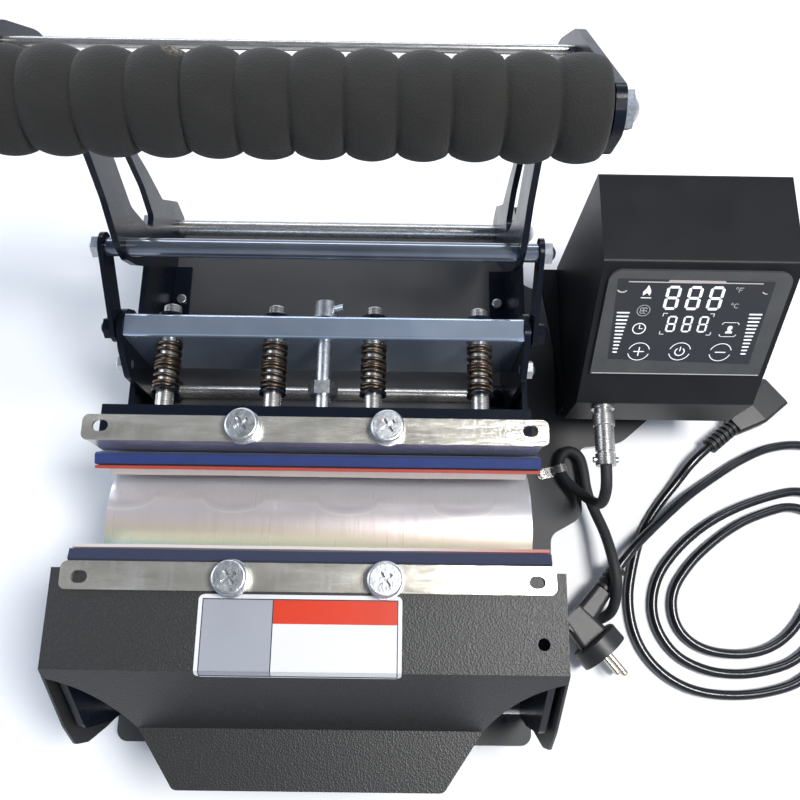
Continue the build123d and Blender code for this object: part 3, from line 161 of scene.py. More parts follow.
# %% Finish, one material
class Finish:
    def __init__(self, name, colour, roughness, metallic=0.0, **sockets):
        self.material = bpy.data.materials.new(name)
        self.material.use_nodes = True
        self.tree = self.material.node_tree
        self.surface = self.tree.nodes["Principled BSDF"]
        self.surface.inputs["Base Color"].default_value = (*colour, 1)
        self.surface.inputs["Roughness"].default_value = roughness
        self.surface.inputs["Metallic"].default_value = metallic
        for socket, value in sockets.items():
            title = socket.replace("_", " ").title().replace("Ior", "IOR")
            self.surface.inputs[title].default_value = value
        place = self.tree.nodes.new("ShaderNodeTexCoord")
        self.place = place.outputs["Object"]
        self.x, self.y, self.z = self.split(self.place)

    def split(self, vector):
        node = self.tree.nodes.new("ShaderNodeSeparateXYZ")
        self.tree.links.new(vector, node.inputs[0])
        return [Num(self.tree, out) for out in node.outputs]

    def node(self, kind, output, settings=(), **sockets):
        """Any other node; socket names have _ for a blank, and a number gives a socket's place."""
        made = self.tree.nodes.new(kind)
        for key, value in dict(settings).items():
            if key == "stops":
                ramp = made.color_ramp
                for stop, (at, colour) in enumerate(value):
                    element = ramp.elements[stop] if stop < 2 else ramp.elements.new(at)
                    element.position, element.color = at, (*colour, 1)
            else:
                setattr(made, key, value)
        for key, value in sockets.items():
            name = key.replace("_", " ").title()
            slot = made.inputs[int(key[1:])] if key[0] == "_" else made.inputs[name]
            link = value.socket if isinstance(value, Num) else value
            if isinstance(link, bpy.types.NodeSocket):
                self.tree.links.new(link, slot)
            else:
                slot.default_value = link
        return Num(self.tree, made.outputs[output])

    def stretched(self, x, y, z):
        """The place in the object, drawn out along the axes with small factors."""
        return self.node("ShaderNodeVectorMath", 0, {"operation": "MULTIPLY"},
                         _0=self.place, _1=(x, y, z)).socket

    def noise(self, size, detail=2.0, roughness=0.55, along=None):
        """Noise of about 0 to 1 whose patches are about size metres across."""
        return self.node("ShaderNodeTexNoise", 0, vector=along or self.place, scale=1 / size,
                         detail=detail, roughness=roughness)

    def cells(self, size, along=None):
        return self.node("ShaderNodeTexVoronoi", 0, vector=along or self.place, scale=1 / size)

    def mix(self, factor, first, second):
        def full(colour):
            return (*colour, 1) if isinstance(colour, tuple) else colour

        return self.node("ShaderNodeMix", 2, {"data_type": "RGBA"}, _0=factor,
                         _6=full(first), _7=full(second))

    def paint(self, value):
        self.tree.links.new(value.socket, self.surface.inputs["Base Color"])
        return self

    def rough(self, value):
        self.tree.links.new(value.socket, self.surface.inputs["Roughness"])
        return self

    def glow(self, value, strength):
        self.tree.links.new(value.socket, self.surface.inputs["Emission Color"])
        self.surface.inputs["Emission Strength"].default_value = strength
        return self

    def bump(self, height, depth, strength=1.0):
        """Relief of depth metres."""
        node = self.node("ShaderNodeBump", 0, height=height, distance=depth, strength=strength)
        self.tree.links.new(node.socket, self.surface.inputs["Normal"])
        return self


# %% [markdown]
# ## The cords
#
# Two free leads leave the machine. The heater lead is soft and matte: it drops from its round
# connector, folds back through a small clip, and crosses over the mains plug on its way under
# the cover. The mains cord lies loose on the table in three turns. Each is a smooth spline
# whose control points follow the route of the solid cord.

# %% A cord from its control points
def cord_line(name, points, diameter, finish):
    data = bpy.data.curves.new(name, "CURVE")
    data.dimensions = "3D"
    data.bevel_depth = diameter / 2
    data.bevel_resolution = 6
    data.resolution_u = 10
    data.use_fill_caps = True
    line = data.splines.new("NURBS")
    line.points.add(len(points) - 1)
    for point, (x, y, z) in zip(line.points, points):
        point.co = (x * MM, y * MM, z * MM, 1)
    line.order_u = 3
    line.use_endpoint_u = True
    piece = bpy.data.objects.new(name, data)
    bpy.context.scene.collection.objects.link(piece)
    data.materials.append(finish.material)
    return piece


# %% Cord finishes
def lead_sleeve():
    """Soft matte sleeve with a faint nap and a few pale scuffs."""
    sleeve = Finish("lead_sleeve", (0.014, 0.015, 0.018), 0.62)
    nap = sleeve.noise(0.0006, 2)
    scuff = (sleeve.noise(0.004, 3) - 0.62).clamp() * 3
    sleeve.paint(sleeve.mix(scuff, (0.014, 0.015, 0.018), (0.05, 0.05, 0.054)))
    return sleeve.rough(0.55 + 0.18 * nap).bump(nap, 0.00006)


def cord_jacket():
    """Glossy moulded jacket, slightly uneven so that its highlight wavers."""
    jacket = Finish("cord_jacket", (0.006, 0.007, 0.01), 0.2, coat_weight=0.25, coat_roughness=0.12)
    swell = jacket.noise(0.012, 2)
    fine = jacket.noise(0.0012, 2)
    return jacket.rough(0.16 + 0.16 * swell).bump(swell + 0.15 * fine, 0.0002)


LEAD_SLEEVE = lead_sleeve()
CORD_JACKET = cord_jacket()

# %% The heater lead
HEATER_LEAD = [
    (193.5, 67.9, 92), (193.5, 56, 92), (194.5, 48.5, 80), (196, 46.5, 64), (196.5, 48.5, 48),
    (194.5, 54.5, 33), (188, 63, 22), (178.5, 74, 16.5), (175.5, 87, 16.5), (182.5, 96.5, 17),
    (192.5, 92, 18), (195, 79, 19), (196, 63, 19.5), (201, 47, 22), (206.5, 31, 27),
    (209.5, 14, 32), (212, -3, 33.5), (212.5, -17.5, 26), (211, -28, 14.5), (203.5, -32.5, 6.2),
    (192, -35.5, 4.5), (178, -38, 4.4), (165, -38, 8.5), (155, -34.5, 17.5), (146, -31, 23.5),
    (128, -30, 24),
]
heater_lead = cord_line("heater_lead_sleeve", HEATER_LEAD, 0.008, LEAD_SLEEVE)
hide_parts("heater_lead")
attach(heater_lead, "machine")

# %% The mains cord
LIE = 3.6                                 # the height of the cord's middle on the table
MAINS_CORD = [
    (297, 101, 12), (284.6, 90.9, 12), (270.5, 72.5, 5.2), (255, 54.5, LIE), (241, 33, LIE),
    (233.5, 12, LIE), (226.5, -18, LIE), (231, -48, LIE), (247, -70, LIE), (271, -83, LIE),
    (300, -86, LIE), (328, -83, LIE), (354, -75, LIE), (381, -50, LIE), (396, -12, LIE),
    (401, 24, LIE), (396, 57, LIE), (371, 70, LIE), (344, 64, LIE), (316, 54, LIE),
    (290, 40, LIE), (267, 21, LIE), (249, -2, LIE), (244, -30, LIE), (257, -56, LIE),
    (280, -68, LIE), (304, -71, LIE), (328, -68, LIE), (352, -60, LIE), (374, -38, LIE),
    (386, -10, LIE), (389, 22, LIE), (382, 49, LIE), (361, 57, LIE), (340, 51, LIE),
    (320, 43, LIE), (298, 29, LIE), (276, 10, LIE), (260, -13, LIE), (262, -38, LIE),
    (279, -53, LIE), (306, -57, LIE), (330, -53, LIE), (350, -40, LIE), (366, -18, LIE),
    (377, 5, LIE + 4), (386, 28, LIE + 9), (397, 54, LIE + 9), (402, 78, LIE + 3),
    (398, 99, LIE), (377, 107, LIE), (349, 104, LIE), (324, 92.5, LIE), (305, 80.5, LIE),
    (281, 64.5, 6), (262, 49, 11), (245, 34.5, 15.5), (228.3, 19, 18.6), (217.8, 5.7, 18.6),
]
mains_cord = cord_line("mains_cord", MAINS_CORD, 0.007, CORD_JACKET)
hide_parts("power_cord_coil", "power_cord_connector_run", "power_cord_plug_run")
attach(mains_cord, "machine")

# %% [markdown]
# ## The soft pad
#
# The pad is a deep trough of two layers, open at the top: blue silicone sponge outside and a
# thin red heater sheet inside. It is drawn as one section in the YZ plane, carried along X. The
# sponge swells and shrinks a little on its way, and its cut edges are not quite straight.

# %% A layer carried along X
def mesh_piece(name, verts, faces, finish, smooth=True):
    mesh = bpy.data.meshes.new(name)
    mesh.from_pydata([Vector(v) * MM for v in verts], [], faces)
    mesh.validate()
    mesh.polygons.foreach_set("use_smooth", [smooth] * len(mesh.polygons))
    mesh.materials.append(finish.material)
    piece = bpy.data.objects.new(name, mesh)
    bpy.context.scene.collection.objects.link(piece)
    return piece


def carried(name, pairs, stations, finish, shift):
    """A thick sheet: pairs of outer and inner (y, z) points, carried through stations of x."""
    ring = [outer for outer, _ in pairs] + [inner for _, inner in reversed(pairs)]
    size, verts, faces = len(ring), [], []
    for x in stations:
        for i, (y, z) in enumerate(ring):
            dx, dy, dz = shift(x, i / size, y, z)
            verts.append((x + dx, y + dy, z + dz))
    for s in range(len(stations) - 1):
        for i in range(size):
            j = (i + 1) % size
            faces.append((s * size + i, s * size + j, (s + 1) * size + j, (s + 1) * size + i))
    for s, flip in ((0, False), (len(stations) - 1, True)):
        for i in range(len(pairs) - 1):
            quad = (s * size + i, s * size + size - 1 - i, s * size + size - 2 - i, s * size + i + 1)
            faces.append(tuple(reversed(quad)) if flip else quad)
    piece = mesh_piece(name, verts, faces, finish)
    mesh = bmesh.new()
    mesh.from_mesh(piece.data)
    bmesh.ops.recalc_face_normals(mesh, faces=mesh.faces)
    for edge in mesh.edges:
        if edge.is_boundary or edge.calc_face_angle(0) > 0.7:
            edge.smooth = False
    mesh.to_mesh(piece.data)
    mesh.free()
    return piece


# %% [markdown]
# The section is a round trough between two straight sides. Both lean outward by the same angle,
# and the front side ends higher than the rear one, as on the real press.

# %% The pad's section
PAD_Y, PAD_Z, LEAN = 24.0, 76.0, math.radians(16)
FRONT_TOP, REAR_TOP = 164.0, 141.0


def pad_point(radius, place):
    """place is 0 at the front end, 0.3 to 0.7 round the trough, and 1 at the rear end."""
    start = PAD_Z + 50 * math.sin(LEAN)
    if place < 0.3:
        rise = (1 - place / 0.3) * (FRONT_TOP - start) / math.cos(LEAN)
        angle, way = math.pi - LEAN, 1
    elif place > 0.7:
        rise = (place - 0.7) / 0.3 * (REAR_TOP - start) / math.cos(LEAN)
        angle, way = LEAN, -1
    else:
        rise, way = 0, 1
        angle = math.pi - LEAN + (place - 0.3) / 0.4 * (math.pi + 2 * LEAN)
    y = PAD_Y + radius * math.cos(angle) + way * rise * math.sin(LEAN)
    z = PAD_Z + radius * math.sin(angle) + rise * math.cos(LEAN)
    return y, z


def pad_pairs(outer, inner, count=60, soft=0.0):
    """Outer and inner points of one layer; soft rounds off its two ends."""
    pairs = []
    for i in range(count + 1):
        place = i / count
        middle, half = (outer + inner) / 2, (outer - inner) / 2
        end = min(place, 1 - place) * count
        half *= 1 - soft * max(0, 1 - end) ** 2
        pairs.append((pad_point(middle + half, place), pad_point(middle - half, place)))
    return pairs


def spread(half, step):
    """Stations of x from end to end, closer together near both ends."""
    inside = [-half + 3 + step * i for i in range(int((2 * half - 6) / step) + 1)]
    return [-half, -half + 0.3, -half + 1.2] + inside + [half - 1.2, half - 0.3, half]


# %% [markdown]
# ## What the pad is made of
#
# Cut silicone sponge is full of closed pores that catch dust. The heater under it is red rubber over
# glass cloth. It is painted pale inside and at its front, so that the liner reflects pale there rather
# than red, and it shows red only at its rear edge. A pale facing lies over the rear end. One material
# carries the pale and the red, mixed by where they are, because the sheet is one piece.

# %% Sponge and heater finishes
def sponge_finish():
    """Silicone sponge: royal blue where it was cut, with fine closed pores and pale dust; painted shade
    darkens it to navy towards the front.
    """
    blue = Finish("sponge_blue", (0.01, 0.03, 0.15), 0.7, sheen_weight=0.1)
    pores = blue.cells(0.0007)
    blotch = blue.noise(0.012, 3)
    dust = (blue.noise(0.0009, 2) - 0.68).clamp() * 4
    tone = blue.mix(blotch, (0.002, 0.015, 0.1), (0.005, 0.027, 0.16))
    # Painted shade: the front of the pad, at low y, is darkened to navy.
    base = blue.mix((1.0 - blue.y * 40).clamp() * 0.8, tone.socket, (0.009, 0.012, 0.025))
    blue.paint(blue.mix(dust * 0.4, base.socket, (0.3, 0.35, 0.5)))
    return blue.bump(pores, 0.00015, 0.6)


def heater_finish():
    """Red silicone rubber with the weave of glass cloth, painted pale inside and at its front so that the
    liner reflects no red there.
    """
    red = Finish("heater_red", (0.5, 0.05, 0.025), 0.5)
    weave = (red.x * 5200).sine() * (red.z * 5200).sine()
    patch = red.noise(0.02, 3)
    tone = red.mix(patch, (0.3, 0.025, 0.015), (0.42, 0.045, 0.025))
    rear_edge = (red.y > 0.024) * (red.z > 0.1375)
    right_hint = (red.x * 12 - 0.6).clamp() * (red.z > 0.155) * 0.7
    # Red only at the rear edge and the right of the front edge; elsewhere painted pale, so that the liner
    # reflects pale rather than red.
    red.paint(red.mix((rear_edge + right_hint).clamp(), (0.5, 0.45, 0.44), tone.socket))
    return red.bump(weave, 0.00005)


def lining_finish():
    """The pale facing that lies between the heater and the liner; its faint pink is a painted reflection
    of the red heater.
    """
    pale = Finish("lining_pale", (0.6, 0.52, 0.5), 0.55)
    patch = pale.noise(0.02, 3)
    # Painted reflection: the faint pink stands for the red heater mirrored in the strip.
    return pale.paint(pale.mix(patch, (0.5, 0.43, 0.41), (0.62, 0.56, 0.54)))


SPONGE_BLUE, HEATER_RED, LINING_PALE = sponge_finish(), heater_finish(), lining_finish()


def wave(x, seed, size):
    """A slow wander of about size millimetres along x."""
    return size * (math.sin(x / 31 + seed) + 0.6 * math.sin(x / 13 + 2.1 * seed)) / 1.6


# %% The sponge, the heater and its facing
def sponge_shift(x, i, y, z):
    up = max(0.0, (z - 120) / 45)
    return wave(z, 1.3, 0.25), up * wave(x, 2 + 3 * i, 0.25), up * wave(x, 5, 0.35)


def heater_shift(x, i, y, z):
    up = max(0.0, (z - 120) / 45)
    lower = 2.6 if y < PAD_Y else -0.5
    return 0, up * wave(x, 4, 0.15), up * (wave(x, 7, 0.3) - lower)


def on_pad(piece, node):
    if node:
        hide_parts(node)
    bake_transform(piece)


sponge = carried("pad_sponge_soft", pad_pairs(54.3, 46.5, 72, 0.25), spread(139.8, 5), SPONGE_BLUE,
                 sponge_shift)
on_pad(sponge, "pad_sponge")
heater = carried("pad_heater_skin", pad_pairs(46.05, 44.15, 72), spread(139.5, 5), HEATER_RED,
                 heater_shift)
on_pad(heater, "pad_heater")
facing_line = [(52.4, 138.8), (51.6, 136.6), (50.7, 134.4), (49.8, 132.4)]
facing_pairs = [((y + 0.35, z + 0.2), (y - 0.35, z - 0.2)) for y, z in facing_line]
facing = carried("pad_facing", facing_pairs, spread(131, 5), LINING_PALE,
                 lambda x, i, y, z: (0, wave(x, 3, 0.2), wave(x, 6, 0.15)))
on_pad(facing, None)
print("pad pieces", len(sponge.data.polygons), len(heater.data.polygons))

# %% [markdown]
# ## The liner
#
# A thin bright sheet is rolled into a tube that springs out against the heater. Handling has left shallow
# dents along its top, and these break its long highlight into hooked pieces. Faint bands of colour are
# painted across it as a painted reflection, rainbow-coloured, palest and bluest towards its front.

# %% The rolled sheet
LINER_R, LINER_T, LAP, OUTER_END = 42.5, 0.7, 40.0, 165.0
DENTS = ((-128, 68, 0.5, 9), (-57, 64, 0.9, 13), (17, 62, 0.8, 14), (91, 66, 0.7, 12), (60, 76, 0.25, 22),
         (-95, 78, 0.2, 20), (-20, 77, 0.25, 18))


def liner_radius(x, angle):
    """Outer radius of the sheet; angle falls from the outer end at 165 degrees, by 400 in all."""
    away = OUTER_END - angle
    blend = min(1, max(0, (away - LAP - 1) / 13))
    radius = LINER_R + 0.9 - 0.9 * (3 * blend ** 2 - 2 * blend ** 3)
    for at, turn, depth, size in DENTS:
        along = ((x - at) / size) ** 2
        across = ((angle % 360 - turn) / (size * 0.75)) ** 2
        if away < 360:
            radius -= depth * math.exp(-along - across)
    return radius + 0.05 * math.sin(x / 17 + angle / 40)


def liner_mesh(finish):
    stations = spread(136.9, 2)
    turns = [OUTER_END - 2.0 * i for i in range(201)]
    verts, faces = [], []
    for x in stations:
        for side in (0, LINER_T):
            for angle in turns:
                r = liner_radius(x, angle) - side
                a = math.radians(angle)
                verts.append((x, PAD_Y + r * math.cos(a), PAD_Z + r * math.sin(a)))
    row, count = 2 * len(turns), len(turns)
    for s in range(len(stations) - 1):
        for i in range(count - 1):
            a, b = s * row + i, (s + 1) * row + i
            faces.append((a, b, b + 1, a + 1))
            faces.append((a + count, a + count + 1, b + count + 1, b + count))
        for i, flip in ((0, False), (count - 1, True)):
            a, b = s * row + i, (s + 1) * row + i
            faces.append((a, a + count, b + count, b) if not flip else (a, b, b + count, a + count))
    for s, flip in ((0, True), (len(stations) - 1, False)):
        for i in range(count - 1):
            a = s * row + i
            quad = (a, a + 1, a + count + 1, a + count)
            faces.append(tuple(reversed(quad)) if flip else quad)
    piece = mesh_piece("liner_roll", verts, faces, finish)
    mesh = bmesh.new()
    mesh.from_mesh(piece.data)
    bmesh.ops.recalc_face_normals(mesh, faces=mesh.faces)
    for edge in mesh.edges:
        if edge.calc_face_angle(0) > 0.7:
            edge.smooth = False
    mesh.to_mesh(piece.data)
    mesh.free()
    return piece


# %% [markdown]
# The liner's shine is half mirror and half satin. Its hooked glints would need the very room that
# the photograph was taken in, so they are painted over the dents as pale lines, each with a
# duller line behind it.

# %% The liner's finish
HOOKS = ((-0.1286, 0.037), (-0.0579, 0.036), (0.0162, 0.035), (0.0905, 0.034))     # x and y, in metres
HOOK_DROP = 0.0075                        # how far a glint dips over its dent


def liner_finish():
    """Satin metal brushed round the tube, with a painted reflection in bands of colour and a painted
    highlight streak near its front.
    """
    satin = Finish("liner_satin", (0.7, 0.69, 0.68), 0.3, metallic=0.72)
    brushed = satin.noise(0.0009, 3, along=satin.stretched(1, 0.02, 0.02))
    cloudy = satin.noise(0.05, 2)
    front = (satin.y * 16 + 0.5 * satin.x + 0.22 + 0.1 * cloudy).clamp()
    # Painted reflection: rainbow bands across the tube, palest and bluest at its front.
    bands = satin.node("ShaderNodeValToRGB", 0, {"stops": (
        (0.0, (0.9, 0.96, 1.0)), (0.16, (0.72, 0.9, 0.98)), (0.3, (0.62, 0.86, 0.9)),
        (0.4, (0.86, 0.92, 0.66)), (0.5, (0.95, 0.84, 0.68)), (0.62, (0.9, 0.8, 0.8)),
        (1.0, (0.8, 0.82, 0.86)))}, fac=front)
    tone = satin.mix(brushed * 0.25, bands.socket, (0.5, 0.5, 0.52))
    for dent_x, dent_y in HOOKS:
        across = satin.x - dent_x - 0.004 * satin.noise(0.03)
        drop = (1.0 - across * across * 2600).clamp().root() * HOOK_DROP
        line = abs(satin.y - dent_y + drop)
        glint = (1.0 - line * 750).clamp() * (1.0 - abs(across) * 26).clamp()
        tone = satin.mix(glint * 0.75, tone.socket, (1.0, 0.97, 0.82))
        shade = (1.0 - abs(satin.y - dent_y + drop - 0.004) * 300).clamp()
        shade = shade * (1.0 - abs(across) * 30).clamp() * 0.35
        tone = satin.mix(shade, tone.socket, (0.45, 0.42, 0.42))
    # Painted highlight: a bright streak along the tube near its front.
    streak = (1.0 - abs(satin.y - 0.003 - 0.002 * cloudy) * 260).clamp() * 0.7
    satin.paint(satin.mix(streak, tone.socket, (0.86, 1.0, 1.0)))
    return satin.rough(0.24 + 0.12 * brushed).bump(brushed, 0.000012)


LINER_SATIN = liner_finish()
liner = liner_mesh(LINER_SATIN)
on_pad(liner, "liner_sheet")
print("liner faces", len(liner.data.polygons))

# %% [markdown]
# ## The springs
#
# Four dark springs sit round the guide rods, between the clips and the beam. They join the clamp bar to
# the press.

# %% A coiled wire
def wire_mesh(name, lines, radius, sides, finish):
    """Tubes along lines of points, all in one mesh."""
    verts, faces = [], []
    for line in lines:
        points = [Vector(p) for p in line]
        first = len(verts)
        for i, p in enumerate(points):
            ahead = (points[min(i + 1, len(points) - 1)] - points[max(i - 1, 0)]).normalized()
            side = ahead.cross(Vector((0, 1, 0.02))).normalized()
            other = ahead.cross(side)
            for k in range(sides):
                a = 2 * math.pi * k / sides
                verts.append(p + side * radius * math.cos(a) + other * radius * math.sin(a))
        for i in range(len(points) - 1):
            for k in range(sides):
                a, b = first + i * sides + k, first + i * sides + (k + 1) % sides
                faces.append((a, b, b + sides, a + sides))
        faces.append(tuple(first + k for k in reversed(range(sides))))
        faces.append(tuple(len(verts) - sides + k for k in range(sides)))
    return mesh_piece(name, verts, faces, finish)


def spring_line(x, turn):
    """The middle of the wire: closed turns at both ends and open ones between."""
    turns, y0, y1, line = 9.0, 108.6, 139.4, []
    for i in range(int(turns * 28) + 1):
        t = i / (turns * 28)
        eased = t + 0.045 * math.sin(4 * math.pi * t) * -1
        a = 2 * math.pi * turns * t + turn
        line.append((x + 7.5 * math.cos(a), y0 + (y1 - y0) * eased, 128.5 + 7.5 * math.sin(a)))
    return line


def spring_finish():
    """Oil-blackened spring wire, rubbed to bronze in patches."""
    wire = Finish("spring_bronze", (0.09, 0.07, 0.055), 0.32, metallic=0.9)
    rubbed = wire.noise(0.004, 3)
    wire.paint(wire.mix(rubbed, (0.03, 0.026, 0.024), (0.17, 0.12, 0.08)))
    return wire.rough(0.24 + 0.2 * rubbed).bump(wire.noise(0.0008), 0.00003)


SPRING_BRONZE = spring_finish()
springs = wire_mesh("spring_coils", [spring_line(x, 0.6 * x) for x in (-103.5, -33, 33, 103.5)],
                    1.2, 12, SPRING_BRONZE)
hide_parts("pressure_springs")
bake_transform(springs)

# %% [markdown]
# ## The foam grip
#
# A thick sleeve of black foam is pushed over the grip rod, between the arms. It has thirteen
# rounded swellings for the fingers. The foam is matte and finely pitted, with a thin dark join in
# one groove left of the middle and a worn spot beside it.

# %% The foam sleeve
GRIP_Y, GRIP_Z, GRIP_HALF = 138.6, 386.0, 123.7
SWELLINGS, FOAM_R, GROOVE_R = 13, 19.8, 16.6


def foam_radius(x, turn):
    place = (x + GRIP_HALF) / (2 * GRIP_HALF) * SWELLINGS
    hump = math.sin(math.pi * (place % 1.0))
    radius = GROOVE_R + (FOAM_R - GROOVE_R) * hump ** 0.6
    number = int(place)
    radius -= 0.3 + 0.18 * math.sin(2.3 * number + turn) + 0.12 * math.sin(x / 9 + 2 * turn)
    to_end = GRIP_HALF - abs(x)
    if to_end < 3:
        radius -= 3 - math.sqrt(max(0.0, 9 - (3 - to_end) ** 2))
    return radius


def foam_mesh(finish, around=96, per_hump=20):
    verts, faces = [], []
    count = SWELLINGS * per_hump
    stations = [-GRIP_HALF + 2 * GRIP_HALF * i / count for i in range(count + 1)]
    rings = [(stations[0], lambda t: 4.2)]
    rings += [(x, lambda t, x=x: foam_radius(x, t)) for x in stations]
    rings += [(stations[-1], lambda t: 4.2)]
    for x, radius in rings:
        for k in range(around):
            t = 2 * math.pi * k / around
            r = radius(t)
            verts.append((x, GRIP_Y + r * math.cos(t), GRIP_Z + r * math.sin(t)))
    for s in range(len(rings)):
        n = (s + 1) % len(rings)
        for k in range(around):
            j = (k + 1) % around
            faces.append((s * around + k, n * around + k, n * around + j, s * around + j))
    return mesh_piece("grip_sleeve", verts, faces, finish)


# %% [markdown]
# Foam has no shine of its own: closed cells leave it pitted and dull, and handling leaves it
# dusty. The join is a crisp dark line that wanders a little, drawn by its distance along x.

# %% The foam's finish
def foam_finish():
    """Closed-cell foam: pitted black with a dusty bloom, one join and one scuff beside it."""
    foam = Finish("grip_foam_black", (0.02, 0.02, 0.02), 0.9, sheen_weight=0.06, sheen_roughness=0.5)
    pits = foam.cells(0.0008)
    fine = foam.noise(0.0005, 3)
    bloom = foam.noise(0.014, 4)
    speck = (foam.noise(0.0007, 2) - 0.7).clamp() * 6
    wander = foam.noise(0.012, 2) - 0.5
    across = abs(foam.x + 0.0285 + 0.0016 * wander)
    seam = (1.0 - across * 1900).clamp()
    spot_x = foam.x + 0.0315
    spot_y = foam.y - 0.152
    near = (1.0 - (spot_x * spot_x * 30000 + spot_y * spot_y * 20000)).clamp()
    scuff = near * (foam.noise(0.0012, 3) - 0.45).clamp() * 6
    base = foam.mix(bloom, (0.0035, 0.0034, 0.003), (0.012, 0.0117, 0.0103))
    base = foam.mix(speck * 0.35 + scuff.clamp(), base.socket, (0.2, 0.17, 0.14))
    foam.paint(foam.mix(seam * 0.85, base.socket, (0.002, 0.002, 0.002)))
    return foam.bump(0.7 * pits + 0.4 * fine + 0.8 * bloom - 2.5 * seam, 0.0003)


GRIP_FOAM = foam_finish()
grip = foam_mesh(GRIP_FOAM)
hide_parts("grip_foam")
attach(grip, "handle")
print("grip faces", len(grip.data.polygons))

# %% [markdown]
# ## The display's print
#
# The glass carries a dark window with lit digits, small symbols, two ladders of bars and three
# touch keys. Each mark is a flat shape a tenth of a millimetre above the glass, laid out in
# millimetres right and up from the middle of the glass.

# %% Marks on the glass
SLOPE = Vector((0, 0.5626, 0.8267))
OUTWARD = Vector((0, -0.8267, 0.5626))
glass_points = [v.co for v in frame["nodes"]["display_glass"].data.vertices]
glass_face = max(p.dot(OUTWARD) for p in glass_points)
GLASS_AT = Vector((0.234, 0.1474, 0.1570))
GLASS_AT += OUTWARD * (glass_face - GLASS_AT.dot(OUTWARD))
print("glass face at", [round(c, 4) for c in GLASS_AT])


class Print:
    """Flat shapes on the glass, gathered into one mesh."""

    def __init__(self, lift):
        self.lift, self.verts, self.faces = lift, [], []

    def shape(self, points):
        first = len(self.verts)
        for u, v in points:
            at = GLASS_AT + Vector((u, 0, 0)) * MM + SLOPE * (v * MM) + OUTWARD * self.lift
            self.verts.append(at / MM)
        self.faces.append(tuple(range(first, len(self.verts))))

    def bar(self, u0, v0, u1, v1, width):
        way = Vector((u1 - u0, v1 - v0)).normalized() * width / 2
        side = Vector((-way.y, way.x))
        a, b = Vector((u0, v0)), Vector((u1, v1))
        tip = way * 0.9
        self.shape([a - tip, a + side, b + side, b + tip, b - side, a - side])

    def arc(self, u, v, r, width, start, end):
        steps = max(4, int(abs(end - start) / 12))
        turns = [math.radians(start + (end - start) * i / steps) for i in range(steps + 1)]
        for a, b in zip(turns, turns[1:]):
            self.shape([(u + q * math.cos(t), v + q * math.sin(t))
                        for q, t in ((r + width / 2, a), (r - width / 2, a),
                                     (r - width / 2, b), (r + width / 2, b))])

    def piece(self, name, finish):
        made = mesh_piece(name, self.verts, self.faces, finish, smooth=False)
        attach(made, "machine")
        return made


def print_ink(name, colour, light):
    ink = Finish(name, colour, 0.45)
    patch = ink.noise(0.0006, 2)
    tone = ink.mix(patch, tuple(0.8 * c for c in colour), colour)
    return ink.paint(tone).glow(tone, light)


# %% The dark window and the pale border
window = Print(0.00005)
window.shape([(-51, 34), (-47, -27), (47, -30), (46, 33)])
window_finish = Finish("window_dark", (0.028, 0.03, 0.036), 0.12)
window_finish.rough(0.08 + 0.12 * window_finish.noise(0.02, 3))
window.piece("display_window", window_finish)


# %% [markdown]
# The figures are of the seven-bar kind. Every bar is lit, so one function draws the same figure
# six times, in two sizes. The ladders at the sides narrow as they go down, as the window does.

# %% Digits and ladders
def digit(marks, u, v, width, height, pen):
    """All seven bars of one digit; u and v are its lower left corner."""
    gap = pen * 0.62
    for level in (0, 0.5, 1):
        high = v + level * height
        marks.bar(u + gap, high, u + width - gap, high, pen)
    for across in (u, u + width):
        for low in (0, 0.5):
            marks.bar(across, v + low * height + gap, across, v + (low + 0.5) * height - gap, pen)


lit = Print(0.00012)
for start in (-19.5, -6.0, 7.5):
    digit(lit, start + 1, 12.8, 7.2, 15.6, 1.9)
for start in (-14.5, -4.4, 5.7):
    digit(lit, start + 0.8, -4.4, 4.9, 11.2, 1.2)
for i in range(12):
    t = i / 11
    v = 9.2 - t * 30.6
    lit.bar(-47 + 2.6 * t, v, -39.6 - 2.5 * t, v, 1.15)
    lit.bar(36.6 + 2.9 * t, v, 44.2 - 1.9 * t, v, 1.15)

# %% [markdown]
# The keys and the small symbols are lines and arcs too. Two rows of symbols are printed dimmer.

# %% Symbols and touch keys
for u, v, du, dv in ((-17.8, 9.2, 1, -1), (14.3, 9.3, -1, -1), (-17.2, -6.7, 1, 1), (15.4, -6.9, -1, 1)):
    lit.bar(u, v, u + 2.6 * du, v, 0.4)
    lit.bar(u, v, u, v + 2.2 * dv, 0.4)
for u, low in ((-27.7, -20.7), (-1, -20.2), (25.6, -20.4)):
    lit.arc(u, low, 6.9, 0.55, 15, 165)
    lit.arc(u, low, 6.9, 0.55, 195, 345)
lit.bar(-31.0, -20.7, -24.4, -20.7, 0.75)
lit.bar(-27.7, -17.4, -27.7, -24.0, 0.75)
lit.bar(22.3, -20.4, 28.9, -20.4, 0.75)
lit.arc(-1, -20.4, 3.0, 0.75, 125, 415)
lit.bar(-1, -16.6, -1, -19.8, 0.7)
lit.arc(-31, -2.7, 4.0, 0.7, 0, 360)
lit.bar(-31, -2.7, -31, 0.2, 0.55)
lit.bar(-31, -2.7, -28.8, -2.7, 0.55)
lit.shape([(-33.6, 22.0), (-33.9, 24.6), (-32.2, 27.2), (-31.2, 29.6), (-29.6, 26.8), (-28.8, 24.4),
           (-29.4, 22.0), (-30.8, 23.6), (-31.6, 23.8), (-32.4, 23.0)])
lit.bar(-34.4, 20.4, -28.2, 20.4, 0.6)
lit.shape([(24.6, -5.4), (24.9, -4.0), (26.0, -3.2), (25.3, -1.8), (25.6, -0.2), (27.0, 0.6),
           (28.4, -0.2), (28.5, -1.8), (27.7, -3.2), (28.9, -4.0), (29.2, -5.4)])
